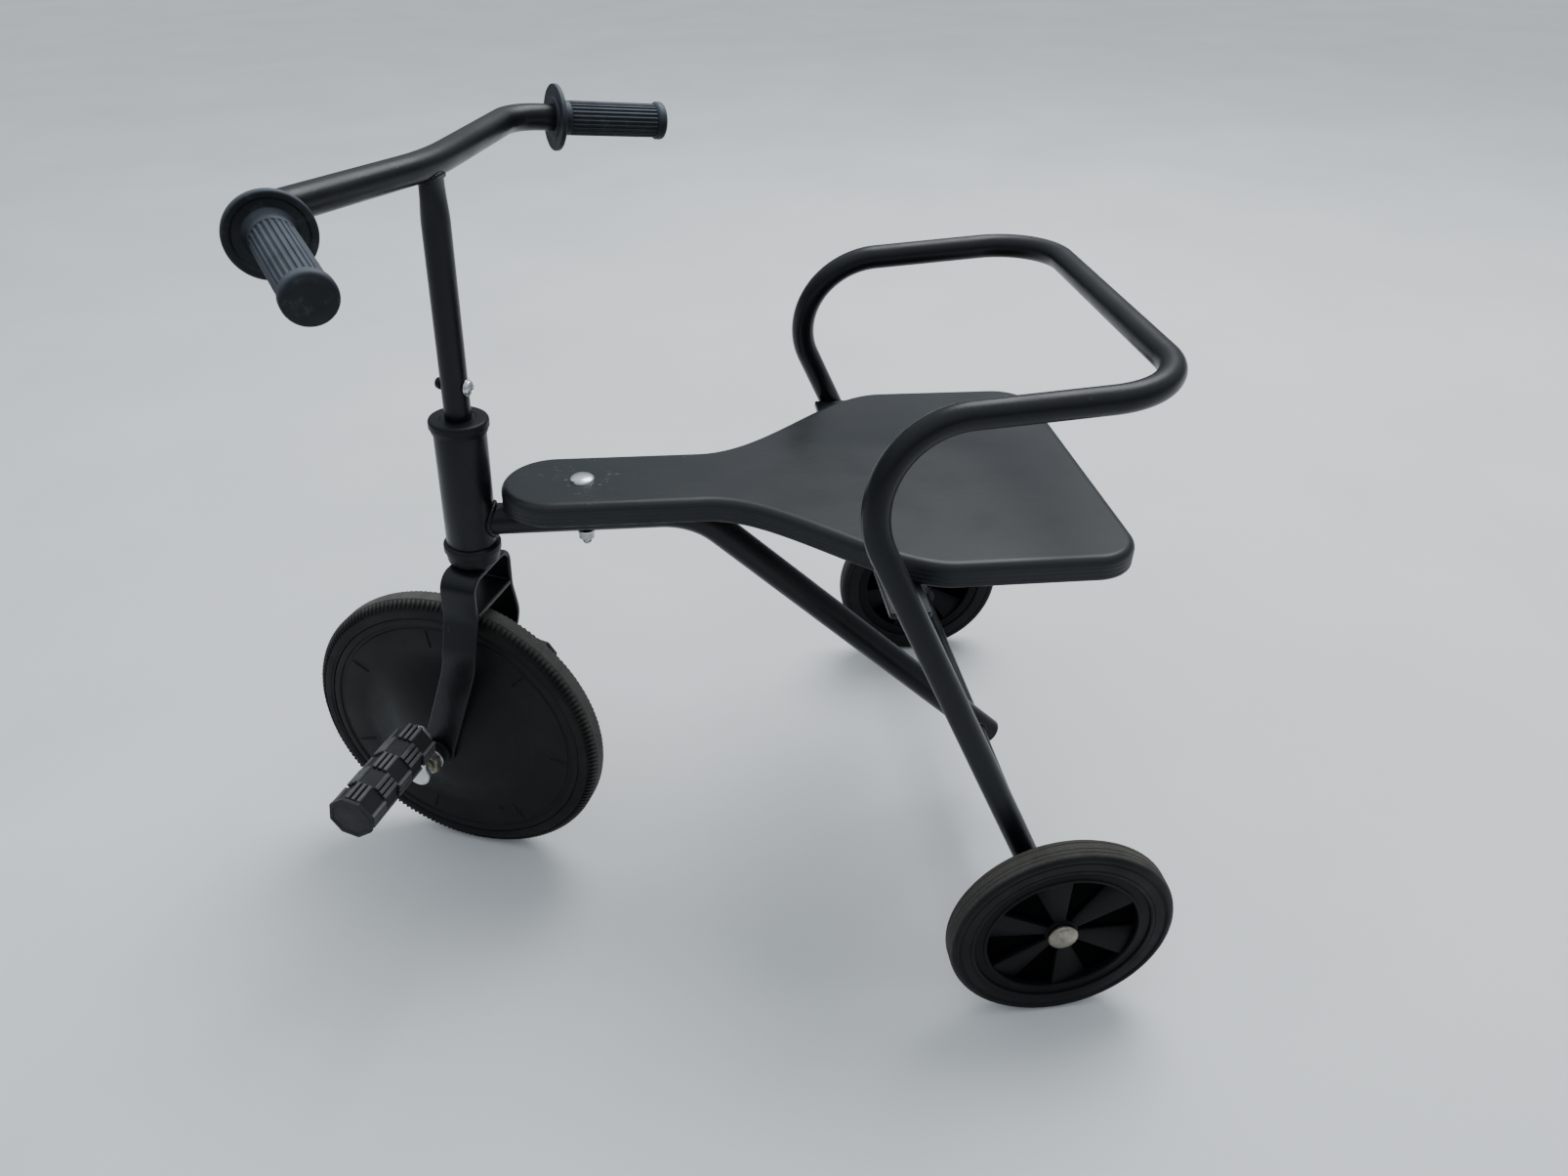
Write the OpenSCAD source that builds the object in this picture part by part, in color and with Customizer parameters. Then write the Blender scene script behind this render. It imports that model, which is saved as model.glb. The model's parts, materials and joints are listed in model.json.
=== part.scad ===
// Child's pedal tricycle with a board seat inside one bent tube loop.
// +X is forward, +Y is to the rider's left and +Z is up. The wheels turn about Y.
// The origin is on the floor, under the middle of the whole tricycle.

/* [Overall] */
// Rear axle to front axle, with the front wheel straight ahead
wheelbase = 399; // [370:1:440]
// Width over the outer faces of the rear tyres
track_w = 428.6; // [400:0.2:480]
// Height of the seat's top face at its bolt
seat_h = 316; // [300:1:345]
// Height of the steering axis where it meets the handlebar's middle
bar_h = 517; // [490:1:580]

/* [Steering] */
// Backward lean of the steering axis in degrees
rake = 4; // [0:0.5:12]
// Distance of the front axle ahead of the steering axis
fork_offset = 27; // [15:1:40]
// How far the steering stands turned at rest, in degrees, left positive
steer_at_rest = -22.5; // [-40:0.5:40]
// Angle of the left crank at rest, in degrees above straight ahead
crank_at_rest = 98; // [0:1:359]

/* [Frame tubes] */
// Outer diameter of the seat loop, stem and handlebar tubes
bar_d = 16.5; // [14:0.5:20]
// Wall of the bent tubes
bar_wall = 1.6; // [1:0.1:2.5]
// Outer diameter of the main tube
main_d = 21; // [18:0.5:26]
// Wall of the main tube
main_wall = 1.6; // [1:0.1:2.5]
// Length of the main tube's level run, from the steering axis to its bend
main_run = 148; // [125:1:165]
// Centreline radius of the main tube's bend
main_bend_r = 60; // [35:1:80]
// How far the main tube runs on past the rear axle
main_tail = 15; // [12:1:25]
// Outer diameter of the head tube
head_d = 33; // [30:0.5:38]
// Wall of the head tube
head_wall = 2; // [1.5:0.1:3]
// Length of the bare head tube between its bushes
head_l = 80; // [65:1:95]

/* [Seat] */
// Length of the seat board
seat_l = 392; // [350:1:410]
// Thickness of the seat board
seat_t = 16; // [12:0.5:20]
// Width of the seat across the rear
seat_rear_w = 251; // [225:1:262]
// Width of the seat's nose
seat_nose_w = 70; // [50:1:90]
// Radius of the seat's rear corners
seat_corner_r = 30; // [15:1:45]
// Distance from the nose tip to where the seat begins to widen
flare_start = 130; // [100:1:150]
// Length of the widening part of the seat
flare_l = 145; // [100:1:170]
// Slope of the seat, nose up, in degrees
seat_tilt = 2.3; // [0:0.1:5]
// Gap between the seat's nose and the head tube
nose_gap = 5.6; // [3:0.1:15]
// Distance of the seat bolt behind the nose tip
bolt_back = 52.5; // [40:0.5:65]
// Width of the flat bar under the rear of the seat
seat_bar_w = 25; // [18:1:32]
// Thickness of the flat bar under the seat
seat_bar_t = 4; // [3:0.5:6]
// Distance between the two screws in the flat bar
seat_screw_gap = 120; // [80:1:160]

/* [Seat loop] */
// Half the distance between the two arms, centre to centre
arm_y = 136; // [128:1:150]
// Height of the arms at their front bend
arm_front_z = 405; // [380:1:440]
// Height of the arms at their rear corner
arm_rear_z = 414; // [385:1:450]
// Position of the arms' front bend ahead of the rear axle
arm_front_x = 144; // [120:1:165]
// Position of the rear cross piece behind the rear axle
arm_rear_x = 60; // [40:1:64]
// Centreline radius of the bends above the legs
leg_bend_r = 55; // [35:1:70]
// Centreline radius of the rear corners
corner_bend_r = 48; // [35:1:65]
// Outer diameter of the eye at the foot of each leg
leg_eye_d = 19; // [16:0.5:24]
// Length of the eye at the foot of each leg
leg_eye_l = 15; // [12:1:20]

/* [Rear wheels] */
// Radius of the rear wheels
rear_r = 74; // [65:1:85]
// Width of the rear tyres
rear_tyre_w = 17.3; // [14:0.1:22]
// Radius of the seat that the rear tyre sits on
rear_seat_r = 58; // [50:0.5:62]
// Radius of the open middle of the rear rim
rear_open_r = 49.4; // [44:0.2:54]
// Number of fan blades in a rear rim
blades = 6; // [5:1:8]
// Slant of the fan blades in degrees
blade_slant = 8; // [0:1:12]
// Turn of the first fan blade in degrees
blade_at = 43; // [0:1:60]
// Thickness of the fan blades, which stand on both faces of a closed web
blade_t = 9; // [6:0.5:10]
// Diameter of the rear axle rod
rear_axle_d = 10; // [8:0.5:12]
// Diameter of the domed axle caps
cap_d = 20; // [16:0.5:24]

/* [Front wheel] */
// Radius of the front wheel
front_r = 113; // [100:1:125]
// Width of the front tyre
front_tyre_w = 22; // [18:0.5:26]
// Width of the flat tread
tread_w = 10; // [6:0.5:14]
// Depth of the sloping tyre shoulder
shoulder_h = 6; // [3:0.5:9]
// Radius of the edge of the wheel discs
disc_r = 99.3; // [88:0.1:102]
// Half the width over the domed wheel discs at the hub
dome_y = 28.9; // [25:0.1:29.1]
// Diameter of the front axle rod
front_axle_d = 10; // [8:0.5:12]
// Diameter of the hub spacer
hub_d = 24; // [20:0.5:30]

/* [Fork] */
// Height of the top of the fork above the front axle, along the steering axis
crown_h = 150; // [143:1:165]
// Width of the fork's flat bar
fork_w = 25; // [20:1:32]
// Thickness of the fork's flat bar
fork_t = 4; // [3:0.5:5]
// Half the width over the fork's upper legs
fork_half = 27; // [24:0.5:29]
// Half the width over the fork's ends
fork_end_half = 34; // [32:0.5:37]
// Height above the axle at which the legs begin to splay
splay_h = 118; // [108:1:122]
// Height over which the legs splay
splay_l = 26; // [15:1:35]
// Height above the axle at which the legs begin to lean forward
lean_h = 85; // [60:1:105]
// Outer radius of the fork's top corners
fork_corner_r = 12; // [8:0.5:16]
// Height of the brace's top face above the front axle
brace_h = 123; // [119:0.5:130]

/* [Cranks and pedals] */
// Length of a crank, axle centre to pedal centre
crank_l = 37; // [28:1:50]
// Thickness of a crank
crank_t = 5; // [4:0.5:7]
// Distance from the wheel's middle to a crank's outer face
crank_y = 62; // [58:1:68]
// Distance from the wheel's middle to a pedal's outer face
pedal_end_y = 143.7; // [130:0.1:155]
// Width of a pedal over its lugs
pedal_d = 30; // [26:0.5:36]
// Height of the pedal's lugs
lug_h = 2.4; // [1.5:0.1:3.5]
// Diameter of the pedal spindle
spindle_d = 8; // [7:0.5:9]

/* [Handlebar] */
// Half the distance between the handlebar's two bends
bar_half = 127; // [110:1:150]
// How far the bends stand ahead of the middle of the bar
bar_fwd = 14; // [0:1:25]
// How far the bends stand above the middle of the bar
bar_rise = 2.5; // [0:0.5:15]
// Length of each end from its bend
bar_end_l = 105; // [90:1:125]
// Backward sweep of the ends in degrees
bar_sweep = 46.5; // [25:0.5:55]
// Fall of the ends in degrees
bar_fall = 4; // [0:0.5:12]
// Centreline radius of the two bends
bar_bend_r = 38; // [30:1:42]
// Centreline radius of the bend in the middle
bar_mid_r = 200; // [100:10:260]
// Diameter of the grips
grip_d = 21.5; // [19.5:0.5:26]
// Diameter of the hand guard on each grip
guard_d = 41; // [34:1:48]
// Diameter of the collar at each grip's end
grip_end_d = 24; // [22:0.5:28]
// Distance from the bend to the hand guard
guard_at = 27; // [24:1:34]
// Diameter of the fork's steerer tube, inside the stem
steerer_d = 13; // [11.6:0.1:14.4]
// Height of the stem bolt above the top bush
stem_bolt_up = 21; // [14:1:30]

/* [Fits] */
// Radial clearance of parts that turn on each other
run_gap = 0.07; // [0.03:0.01:0.1]
// Radial clearance of parts that are fixed in each other
fix_gap = 0.05; // [0.02:0.01:0.08]
// Side play of the turning parts
side_gap = 0.3; // [0.2:0.05:0.6]

/* [Hidden] */
$fn = 48;
eps = 0.01;

// Finishes
c_paint = "#1d1f22";
c_seat = "#22252a";
c_rubber = "#2a2a29";
c_plastic = "#191a1c";
c_zinc = "#b9bcc0";
c_brown_zinc = "#8f8577";

// Direction of the front wheel's axis at rest, and the wheel's extent along X and Z
wheel_dir = [-sin(steer_at_rest) * cos(rake), cos(steer_at_rest), -sin(steer_at_rest) * sin(rake)];
tyre_corners = [[front_r, tread_w / 2], [front_r - shoulder_h, front_tyre_w / 2]];
function reach(c, k) = c[0] * sqrt(1 - k * k) + c[1] * abs(k);
front_axle_z = max([for (c = tyre_corners) reach(c, wheel_dir[2])]);
front_reach = max([for (c = tyre_corners) reach(c, wheel_dir[0])]);

// The steering axis crosses the plane of the front axle here
steer_x = wheelbase - fork_offset * cos(rake);
steer_z = front_axle_z - fork_offset * cos(steer_at_rest) * sin(rake);
front_axle_x = steer_x + fork_offset * cos(steer_at_rest) * cos(rake);
x_mid = (front_axle_x + front_reach - rear_r) / 2;

// Heights along the steering axis, from the front axle's plane
lower_bush_h = 16;
upper_bush_h = 9;
bush_lip = 2.3;
lower_bush_s = crown_h + side_gap;
head_s = lower_bush_s + lower_bush_h;
upper_bush_s = head_s + head_l;
head_top_s = upper_bush_s + upper_bush_h;
bar_s = (bar_h - steer_z) / cos(rake);
stem_foot_s = head_top_s - 12;
stem_bolt_s = head_top_s + stem_bolt_up;
steerer_top_s = stem_bolt_s + 14;

// A tube's wall stands proud by this much in its bends
bend_skin = 0.2;

// The seat's own frame has its origin on the top face at the bolt
function axis_x(z) = steer_x - (z - steer_z) * tan(rake);
nose_x = axis_x(seat_h) - head_d / 2 - nose_gap;
bolt_x = nose_x - bolt_back;
function from_seat(x, z) = [bolt_x + x * cos(seat_tilt) - z * sin(seat_tilt), 0,
    seat_h + x * sin(seat_tilt) + z * cos(seat_tilt)];
tube_z = -seat_t - main_d / 2 - bend_skin;
tube_front = from_seat(axis_x(seat_h) - bolt_x, tube_z);
tube_bend = from_seat(axis_x(seat_h) - bolt_x - main_run, tube_z);
axle_point = [0, 0, rear_r];
tube_fall = unit(axle_point - tube_bend);
tube_end = axle_point + main_tail * tube_fall;

// Widths at the rear axle, out from the middle
tyre_out_y = track_w / 2;
tyre_in_y = tyre_out_y - rear_tyre_w;
rim_hub_in_y = tyre_in_y - 3;
rim_hub_out_y = tyre_out_y - 3.3;
washer_t = 1.5;
eye_out_y = rim_hub_in_y - washer_t - side_gap;
leg_foot_y = eye_out_y - leg_eye_l / 2;
cap_in_y = rim_hub_out_y + washer_t + side_gap;
cap_out_y = cap_in_y + 4;

// The seat loop's route, left foot first; the last half mirrors the first
leg_foot = [0, leg_foot_y, rear_r];
leg_top = [arm_front_x, arm_y, arm_front_z];
loop_half = [leg_foot, leg_top, [-arm_rear_x, arm_y, arm_rear_z]];
function flip_y(p) = [p[0], -p[1], p[2]];
loop_route = concat(loop_half, [for (i = [2:-1:0]) flip_y(loop_half[i])]);
loop_radii = [leg_bend_r, corner_bend_r, corner_bend_r, leg_bend_r];

// The flat bar crosses under the seat where the legs pass the seat's underside
bar_drop = seat_t + seat_bar_t / 2;
leg_share = (arm_front_z - (seat_h - bar_drop - (bolt_x - arm_front_x) * tan(seat_tilt)))
    / (arm_front_z - rear_r);
seat_bar_x = (arm_front_x * (1 - leg_share) - bolt_x) / cos(seat_tilt);
seat_bar_y = arm_y + (leg_foot_y - arm_y) * leg_share;

// Fixings
seat_bolt_d = 6;
stem_bolt_d = 5;
seat_screw_d = 4;
nut_flat_6 = 10;
nut_flat_5 = 8;
across_corners = 1 / cos(30);

// Handlebar route in the steering frame
bar_bend = [bar_fwd, bar_half, bar_s + bar_rise];
end_dir = [-sin(bar_sweep) * cos(bar_fall), cos(bar_sweep) * cos(bar_fall), -sin(bar_fall)];
grip_wall = 3;
bar_end = bar_bend + (bar_end_l - grip_wall) * end_dir;
bar_route = [bar_end, bar_bend, [0, 0, bar_s], flip_y(bar_bend), flip_y(bar_end)];
// The middle bend rounds the corner off, so the tube's centre lies inside it
bar_mid = [0, 0, bar_s] + bar_mid_r * (1 / cos(turn(bar_route, 2) / 2) - 1)
    * unit([bar_fwd + eps, 0, bar_rise]);

// Front axle stack, out from the wheel's middle
hub_y = fork_end_half - fork_t - 0.6;
bush_flange_y = fork_end_half + 3.5;
bush_out_y = fork_end_half + 7;
crank_washer_y = bush_out_y + side_gap;
crank_washer_t = 1.8;
crank_nut_y = crank_washer_y + crank_washer_t;
crank_nut_t = 7;
fork_bush_d = 14;
pedal_in_y = crank_y + 2;
pedal_cap_t = 3.7;
pedal_body_end = pedal_end_y - pedal_cap_t;
pocket_l = 9;
pocket_d = 16;
clip_t = 1.5;
clip_y = pedal_body_end - pocket_l + side_gap;
spindle_end_y = clip_y + clip_t + 2;

function unit(v) = v / norm(v);
// A direction at right angles to v
function across(v) = unit(cross(abs(v[2]) < 0.9 ? [0, 0, 1] : [1, 0, 0], v));

// Puts children into a frame with the given axes and origin
module in_frame(x, y, z, at) {
    multmatrix([[x[0], y[0], z[0], at[0]], [x[1], y[1], z[1], at[1]],
        [x[2], y[2], z[2], at[2]], [0, 0, 0, 1]])
        children();
}

// Stands children on point a with their Z towards point b
module towards(a, b) {
    z = unit(b - a);
    x = across(z);
    in_frame(x, cross(z, x), z, a) children();
}

module ring(d, d_in) {
    difference() {
        circle(d = d);
        if (d_in > 0) circle(d = d_in);
    }
}

function turn(p, i) = acos(unit(p[i] - p[i - 1]) * unit(p[i + 1] - p[i]));
function set_back(p, radii, i) =
    i == 0 || i == len(p) - 1 ? 0 : radii[i - 1] * tan(turn(p, i) / 2);

// A round tube along points p, bent to the given radii at its inner points.
// Each straight enters its bends by a lap, inside a bend's slightly thicker wall.
module bent_tube(p, radii, d, d_in) {
    lap = 0.5;
    last = len(p) - 1;
    for (i = [0:last - 1]) {
        way = unit(p[i + 1] - p[i]);
        a = p[i] + way * (set_back(p, radii, i) - (i > 0 ? lap : 0));
        b = p[i + 1] - way * (set_back(p, radii, i + 1) - (i < last - 1 ? lap : 0));
        towards(a, b) linear_extrude(norm(b - a)) ring(d, d_in);
    }
    for (i = [1:1:last - 1]) {
        u = unit(p[i] - p[i - 1]);
        v = unit(p[i + 1] - p[i]);
        n = unit(v - (u * v) * u);
        centre = p[i] - u * set_back(p, radii, i) + n * radii[i - 1];
        in_frame(-n, u, cross(-n, u), centre)
            rotate_extrude(angle = turn(p, i)) translate([radii[i - 1], 0])
                ring(d + 2 * bend_skin, d_in > 0 ? d_in - 2 * bend_skin : 0);
    }
}

// Moves the whole tricycle so that its middle is over the origin
module place() {
    translate([-x_mid, 0, 0]) children();
}

// Along Y, for anything that turns on an axle
module along_y() {
    rotate([-90, 0, 0]) children();
}

module seat_frame() {
    place() translate([bolt_x, 0, seat_h]) rotate([0, -seat_tilt, 0]) children();
}

module steering_frame() {
    place() translate([steer_x, 0, steer_z]) rotate([0, -rake, 0])
        rotate([0, 0, steer_at_rest]) children();
}

module head_frame() {
    place() translate([steer_x, 0, steer_z]) rotate([0, -rake, 0]) children();
}

module front_axle_frame() {
    steering_frame() translate([fork_offset, 0, 0]) children();
}

module rear_axle_frame() {
    place() translate(axle_point) children();
}

// A crank's own frame: X runs from the axle to the pedal, and Y runs outwards.
// The right crank stands opposite the left one.
module crank_frame(side) {
    front_axle_frame() rotate([0, -crank_at_rest, 0]) rotate([0, 0, side > 0 ? 0 : 180])
        children();
}

// A round hole or pin along Y between two distances from the middle
module y_rod(d, y0, y1) {
    translate([0, y0, 0]) along_y() cylinder(d = d, h = y1 - y0);
}

// ---- Frame ----

module head_tube() {
    color(c_paint) head_frame() translate([0, 0, head_s]) difference() {
        cylinder(d = head_d, h = head_l);
        translate([0, 0, -1]) cylinder(d = head_d - 2 * head_wall, h = head_l + 2);
    }
}

// A push-in bush: a barrel inside the head tube and a lip outside it
bush_barrel_d = head_d - 2 * head_wall - 2 * fix_gap;
bush_barrel_l = 14;

module upper_head_bush() {
    color(c_plastic) head_frame() translate([0, 0, upper_bush_s]) difference() {
        union() {
            translate([0, 0, -bush_barrel_l]) cylinder(d = bush_barrel_d, h = bush_barrel_l);
            cylinder(d = head_d + 2 * bush_lip - 2, h = 3);
            translate([0, 0, 3]) cylinder(d = head_d + 2 * bush_lip, h = upper_bush_h - 4.5);
            translate([0, 0, upper_bush_h - 1.5])
                cylinder(d1 = head_d + 2 * bush_lip, d2 = head_d + 2 * bush_lip - 3, h = 1.5);
        }
        translate([0, 0, -bush_barrel_l - 1])
            cylinder(d = bar_d + 2 * run_gap, h = bush_barrel_l + upper_bush_h + 2);
    }
}

module lower_head_bush() {
    ring_h = 7;
    neck_h = 2;
    color(c_plastic) head_frame() translate([0, 0, lower_bush_s]) difference() {
        union() {
            cylinder(d = head_d + bush_lip, h = ring_h);
            translate([0, 0, ring_h]) cylinder(d = head_d - 1, h = neck_h);
            translate([0, 0, ring_h + neck_h])
                cylinder(d = head_d + 2 * bush_lip, h = lower_bush_h - ring_h - neck_h);
            translate([0, 0, lower_bush_h]) cylinder(d = bush_barrel_d, h = bush_barrel_l);
        }
        translate([0, 0, -1])
            cylinder(d = steerer_d + 2 * run_gap, h = lower_bush_h + bush_barrel_l + 2);
    }
}

main_route = [tube_front, tube_bend, tube_end];

module main_tube() {
    color(c_paint) place() difference() {
        bent_tube(main_route, [main_bend_r], main_d, main_d - 2 * main_wall);
        translate([steer_x, 0, steer_z]) rotate([0, -rake, 0])
            cylinder(d = head_d + 2 * fix_gap, h = head_top_s);
        translate(axle_point) y_rod(rear_axle_d + 2 * fix_gap, -main_d, main_d);
        translate([bolt_x, 0, seat_h]) rotate([0, -seat_tilt, 0])
            translate([0, 0, -seat_t - 2 * main_d])
            cylinder(d = seat_bolt_d + 0.4, h = 2 * main_d + seat_t);
    }
}

// Domed plug that closes the main tube's lower end
module main_tube_plug() {
    dome_h = 4;
    dome_r = (main_d * main_d / 4 + dome_h * dome_h) / (2 * dome_h);
    plug_l = main_tail - rear_axle_d / 2 - 3;
    color(c_plastic) place() towards(tube_end, tube_end + tube_fall) {
        intersection() {
            cylinder(d = main_d, h = dome_h);
            translate([0, 0, dome_h - dome_r]) sphere(r = dome_r);
        }
        translate([0, 0, -plug_l])
            cylinder(d = main_d - 2 * main_wall - 2 * fix_gap, h = plug_l);
    }
}

module seat_loop() {
    color(c_paint) place() difference() {
        union() {
            bent_tube(loop_route, loop_radii, bar_d, bar_d - 2 * bar_wall);
            for (side = [-1, 1])
                translate([0, side * leg_foot_y, rear_r])
                    y_rod(leg_eye_d, -leg_eye_l / 2, leg_eye_l / 2);
        }
        translate(axle_point)
            y_rod(rear_axle_d + 2 * fix_gap, -track_w / 2, track_w / 2);
        // Trims what stands out of the eye's flat faces
        for (side = [-1, 1])
            translate([0, side * (leg_foot_y + leg_eye_l), rear_r])
                cube([3 * bar_d, leg_eye_l, 2 * leg_eye_d], center = true);
    }
}

module rear_axle() {
    color(c_paint) rear_axle_frame() y_rod(rear_axle_d, -cap_out_y + 2.5, cap_out_y - 2.5);
}

module seat_bar() {
    color(c_paint) difference() {
        seat_frame() translate([seat_bar_x, 0, -seat_t - seat_bar_t / 2])
            difference() {
                cube([seat_bar_w, 2 * seat_bar_y, seat_bar_t], center = true);
                for (side = [-1, 1])
                    translate([0, side * seat_screw_gap / 2, -seat_bar_t])
                        cylinder(d = seat_screw_d + 0.5, h = 2 * seat_bar_t);
            }
        place() for (s = [1, -1])
            bent_tube([[leg_top[0], s * leg_top[1], leg_top[2]], [0, s * leg_foot_y, rear_r]],
                [], bar_d + 2 * fix_gap, 0);
    }
}

// ---- Seat ----

smooth_steps = 14;
arc_steps = 12;
function smooth(t) = t * t * (3 - 2 * t);
nose_r = seat_nose_w / 2;
// Half outline of the seat from the nose tip round to the rear edge, in the seat's frame
seat_half = concat(
    [for (i = [0:arc_steps]) [bolt_back - nose_r + nose_r * cos(90 * i / arc_steps),
        nose_r * sin(90 * i / arc_steps)]],
    [for (i = [0:smooth_steps]) [bolt_back - flare_start - flare_l * i / smooth_steps,
        nose_r + (seat_rear_w / 2 - nose_r) * smooth(i / smooth_steps)]],
    [for (i = [0:arc_steps])
        [bolt_back - seat_l + seat_corner_r - seat_corner_r * sin(90 * i / arc_steps),
            seat_rear_w / 2 - seat_corner_r + seat_corner_r * cos(90 * i / arc_steps)]]);

module seat_board() {
    edge = 2;
    color(c_seat) seat_frame() difference() {
        translate([0, 0, -seat_t]) linear_extrude(seat_t)
            polygon(concat(seat_half, [for (i = [len(seat_half) - 1:-1:1])
                [seat_half[i][0], -seat_half[i][1]]]));
        translate([0, 0, -seat_t - 1]) cylinder(d = seat_bolt_d + 0.4, h = seat_t + 2);
        for (side = [-1, 1])
            translate([seat_bar_x, side * seat_screw_gap / 2, -seat_t - 1])
                cylinder(d = seat_screw_d + 2 * fix_gap, h = seat_t - edge);
    }
}

module seat_bolt() {
    head_w = 16.5;
    head_h = 3.3;
    dome_r = (head_w * head_w / 4 + head_h * head_h) / (2 * head_h);
    bolt_l = seat_t + main_d + 11;
    color(c_zinc) seat_frame() {
        intersection() {
            cylinder(d = head_w, h = head_h);
            translate([0, 0, head_h - dome_r]) sphere(r = dome_r);
        }
        translate([0, 0, -bolt_l]) cylinder(d = seat_bolt_d, h = bolt_l + eps);
    }
}

seat_washer_t = 1.6;
seat_washer_z = -seat_t - bend_skin - main_d - seat_washer_t;

module seat_bolt_washer() {
    color(c_zinc) seat_frame() translate([0, 0, seat_washer_z])
        linear_extrude(seat_washer_t) ring(12, seat_bolt_d + 2 * fix_gap);
}

module seat_bolt_nut() {
    nut_h = 5;
    color(c_zinc) seat_frame() translate([0, 0, seat_washer_z - nut_h])
        difference() {
            cylinder(d = nut_flat_6 * across_corners, h = nut_h, $fn = 6);
            translate([0, 0, -1]) cylinder(d = seat_bolt_d + 2 * fix_gap, h = nut_h + 2);
        }
}

module seat_screws() {
    head_h = 2.4;
    screw_l = seat_bar_t + seat_t - 4;
    color(c_zinc) seat_frame() for (side = [-1, 1])
        translate([seat_bar_x, side * seat_screw_gap / 2, -seat_t - seat_bar_t]) {
            translate([0, 0, -head_h]) cylinder(d1 = 5, d2 = 8, h = head_h);
            cylinder(d = seat_screw_d, h = screw_l);
        }
}

// ---- Rear wheels ----

module rear_washers() {
    color(c_zinc) rear_axle_frame() for (side = [0, 180]) rotate([0, 0, side])
        for (y = [eye_out_y, rim_hub_out_y + side_gap])
            translate([0, y, 0]) along_y()
                linear_extrude(washer_t) ring(17, rear_axle_d + 2 * fix_gap);
}

module axle_cap(side) {
    depth = cap_out_y - cap_in_y;
    dome_r = (cap_d * cap_d / 4 + depth * depth) / (2 * depth);
    color(c_zinc) rear_axle_frame() rotate([0, 0, side > 0 ? 0 : 180]) difference() {
        translate([0, cap_in_y, 0]) along_y() intersection() {
            cylinder(d = cap_d, h = depth);
            translate([0, 0, depth - dome_r]) sphere(r = dome_r);
        }
        y_rod(rear_axle_d + 2 * fix_gap, cap_in_y - 1, cap_out_y - 2.5 + fix_gap);
    }
}

module axle_cap_left() axle_cap(1);
module axle_cap_right() axle_cap(-1);

module rear_side(side) {
    rear_axle_frame() rotate([0, 0, side > 0 ? 0 : 180]) children();
}

module rear_tyre(side) {
    w = rear_tyre_w;
    round_r = 3.5;
    color(c_rubber) rear_side(side) translate([0, tyre_in_y, 0]) along_y() rotate_extrude()
        difference() {
            union() {
                translate([rear_seat_r + fix_gap, 0])
                    square([rear_r - rear_seat_r - fix_gap - round_r, w]);
                translate([rear_r - round_r - eps, round_r])
                    square([round_r + eps, w - 2 * round_r]);
                for (y = [round_r, w - round_r])
                    translate([rear_r - round_r, y]) circle(r = round_r);
            }
            // Shallow groove round the outer side wall
            translate([rear_seat_r + 7.5, w]) circle(r = 0.9);
        }
}

module rear_tyre_left() rear_tyre(1);
module rear_tyre_right() rear_tyre(-1);

rim_hub_d = 22;
rear_bush_d = 14;

module rear_rim(side) {
    band_w = rear_tyre_w - 3.5;
    hub_l = rim_hub_out_y - rim_hub_in_y;
    web_t = 2;
    color(c_plastic) rear_side(side) difference() {
        union() {
            translate([0, tyre_in_y + 1.75, 0]) along_y()
                linear_extrude(band_w) ring(2 * rear_seat_r, 2 * rear_open_r);
            y_rod(rim_hub_d, rim_hub_in_y, rim_hub_out_y);
            translate([0, (tyre_in_y + tyre_out_y - web_t) / 2, 0]) along_y()
                linear_extrude(web_t) ring(2 * rear_open_r + 2, rim_hub_d - 2);
            intersection() {
                translate([0, tyre_in_y + 1.75, 0]) along_y()
                    linear_extrude(band_w) ring(2 * rear_open_r + 2, rim_hub_d - 2);
                translate([0, (tyre_in_y + tyre_out_y) / 2, 0])
                    for (i = [0:blades - 1]) rotate([0, blade_at + 360 * i / blades, 0])
                        rotate([-blade_slant, 0, 0]) along_y()
                            linear_extrude(blade_t, center = true)
                                polygon([[8, -3], [rear_seat_r, -15], [rear_seat_r, 15], [8, 3]]);
            }
        }
        y_rod(rear_bush_d + 2 * fix_gap, rim_hub_in_y - 1, rim_hub_out_y + 1);
    }
}

module rear_rim_left() rear_rim(1);
module rear_rim_right() rear_rim(-1);

module rear_bush(side) {
    color(c_plastic) rear_side(side) difference() {
        y_rod(rear_bush_d, rim_hub_in_y, rim_hub_out_y);
        y_rod(rear_axle_d + 2 * run_gap, rim_hub_in_y - 1, rim_hub_out_y + 1);
    }
}

module rear_bush_left() rear_bush(1);
module rear_bush_right() rear_bush(-1);

// ---- Fork ----

function arc(centre, r, a0, a1) =
    [for (i = [0:arc_steps]) let (a = a0 + (a1 - a0) * i / arc_steps) centre + r * [cos(a), sin(a)]];

// Front view of the flat bar: an arch with splayed legs, drawn with X across and Y up
module fork_front() {
    foot_h = splay_h - splay_l;
    corner = [fork_half - fork_corner_r, crown_h - fork_corner_r];
    outer = concat(arc(corner, fork_corner_r, 90, 0), [[fork_half, splay_h],
        [fork_end_half, foot_h], [fork_end_half, -fork_w]]);
    inner = concat(arc(corner, fork_corner_r - fork_t, 90, 0), [[fork_half - fork_t, splay_h],
        [fork_end_half - fork_t, foot_h], [fork_end_half - fork_t, -fork_w]]);
    half = concat(outer, [for (i = [len(inner) - 1:-1:0]) inner[i]]);
    polygon(concat(half, [for (i = [len(half) - 1:-1:0]) [-half[i][0], half[i][1]]]));
}

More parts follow.
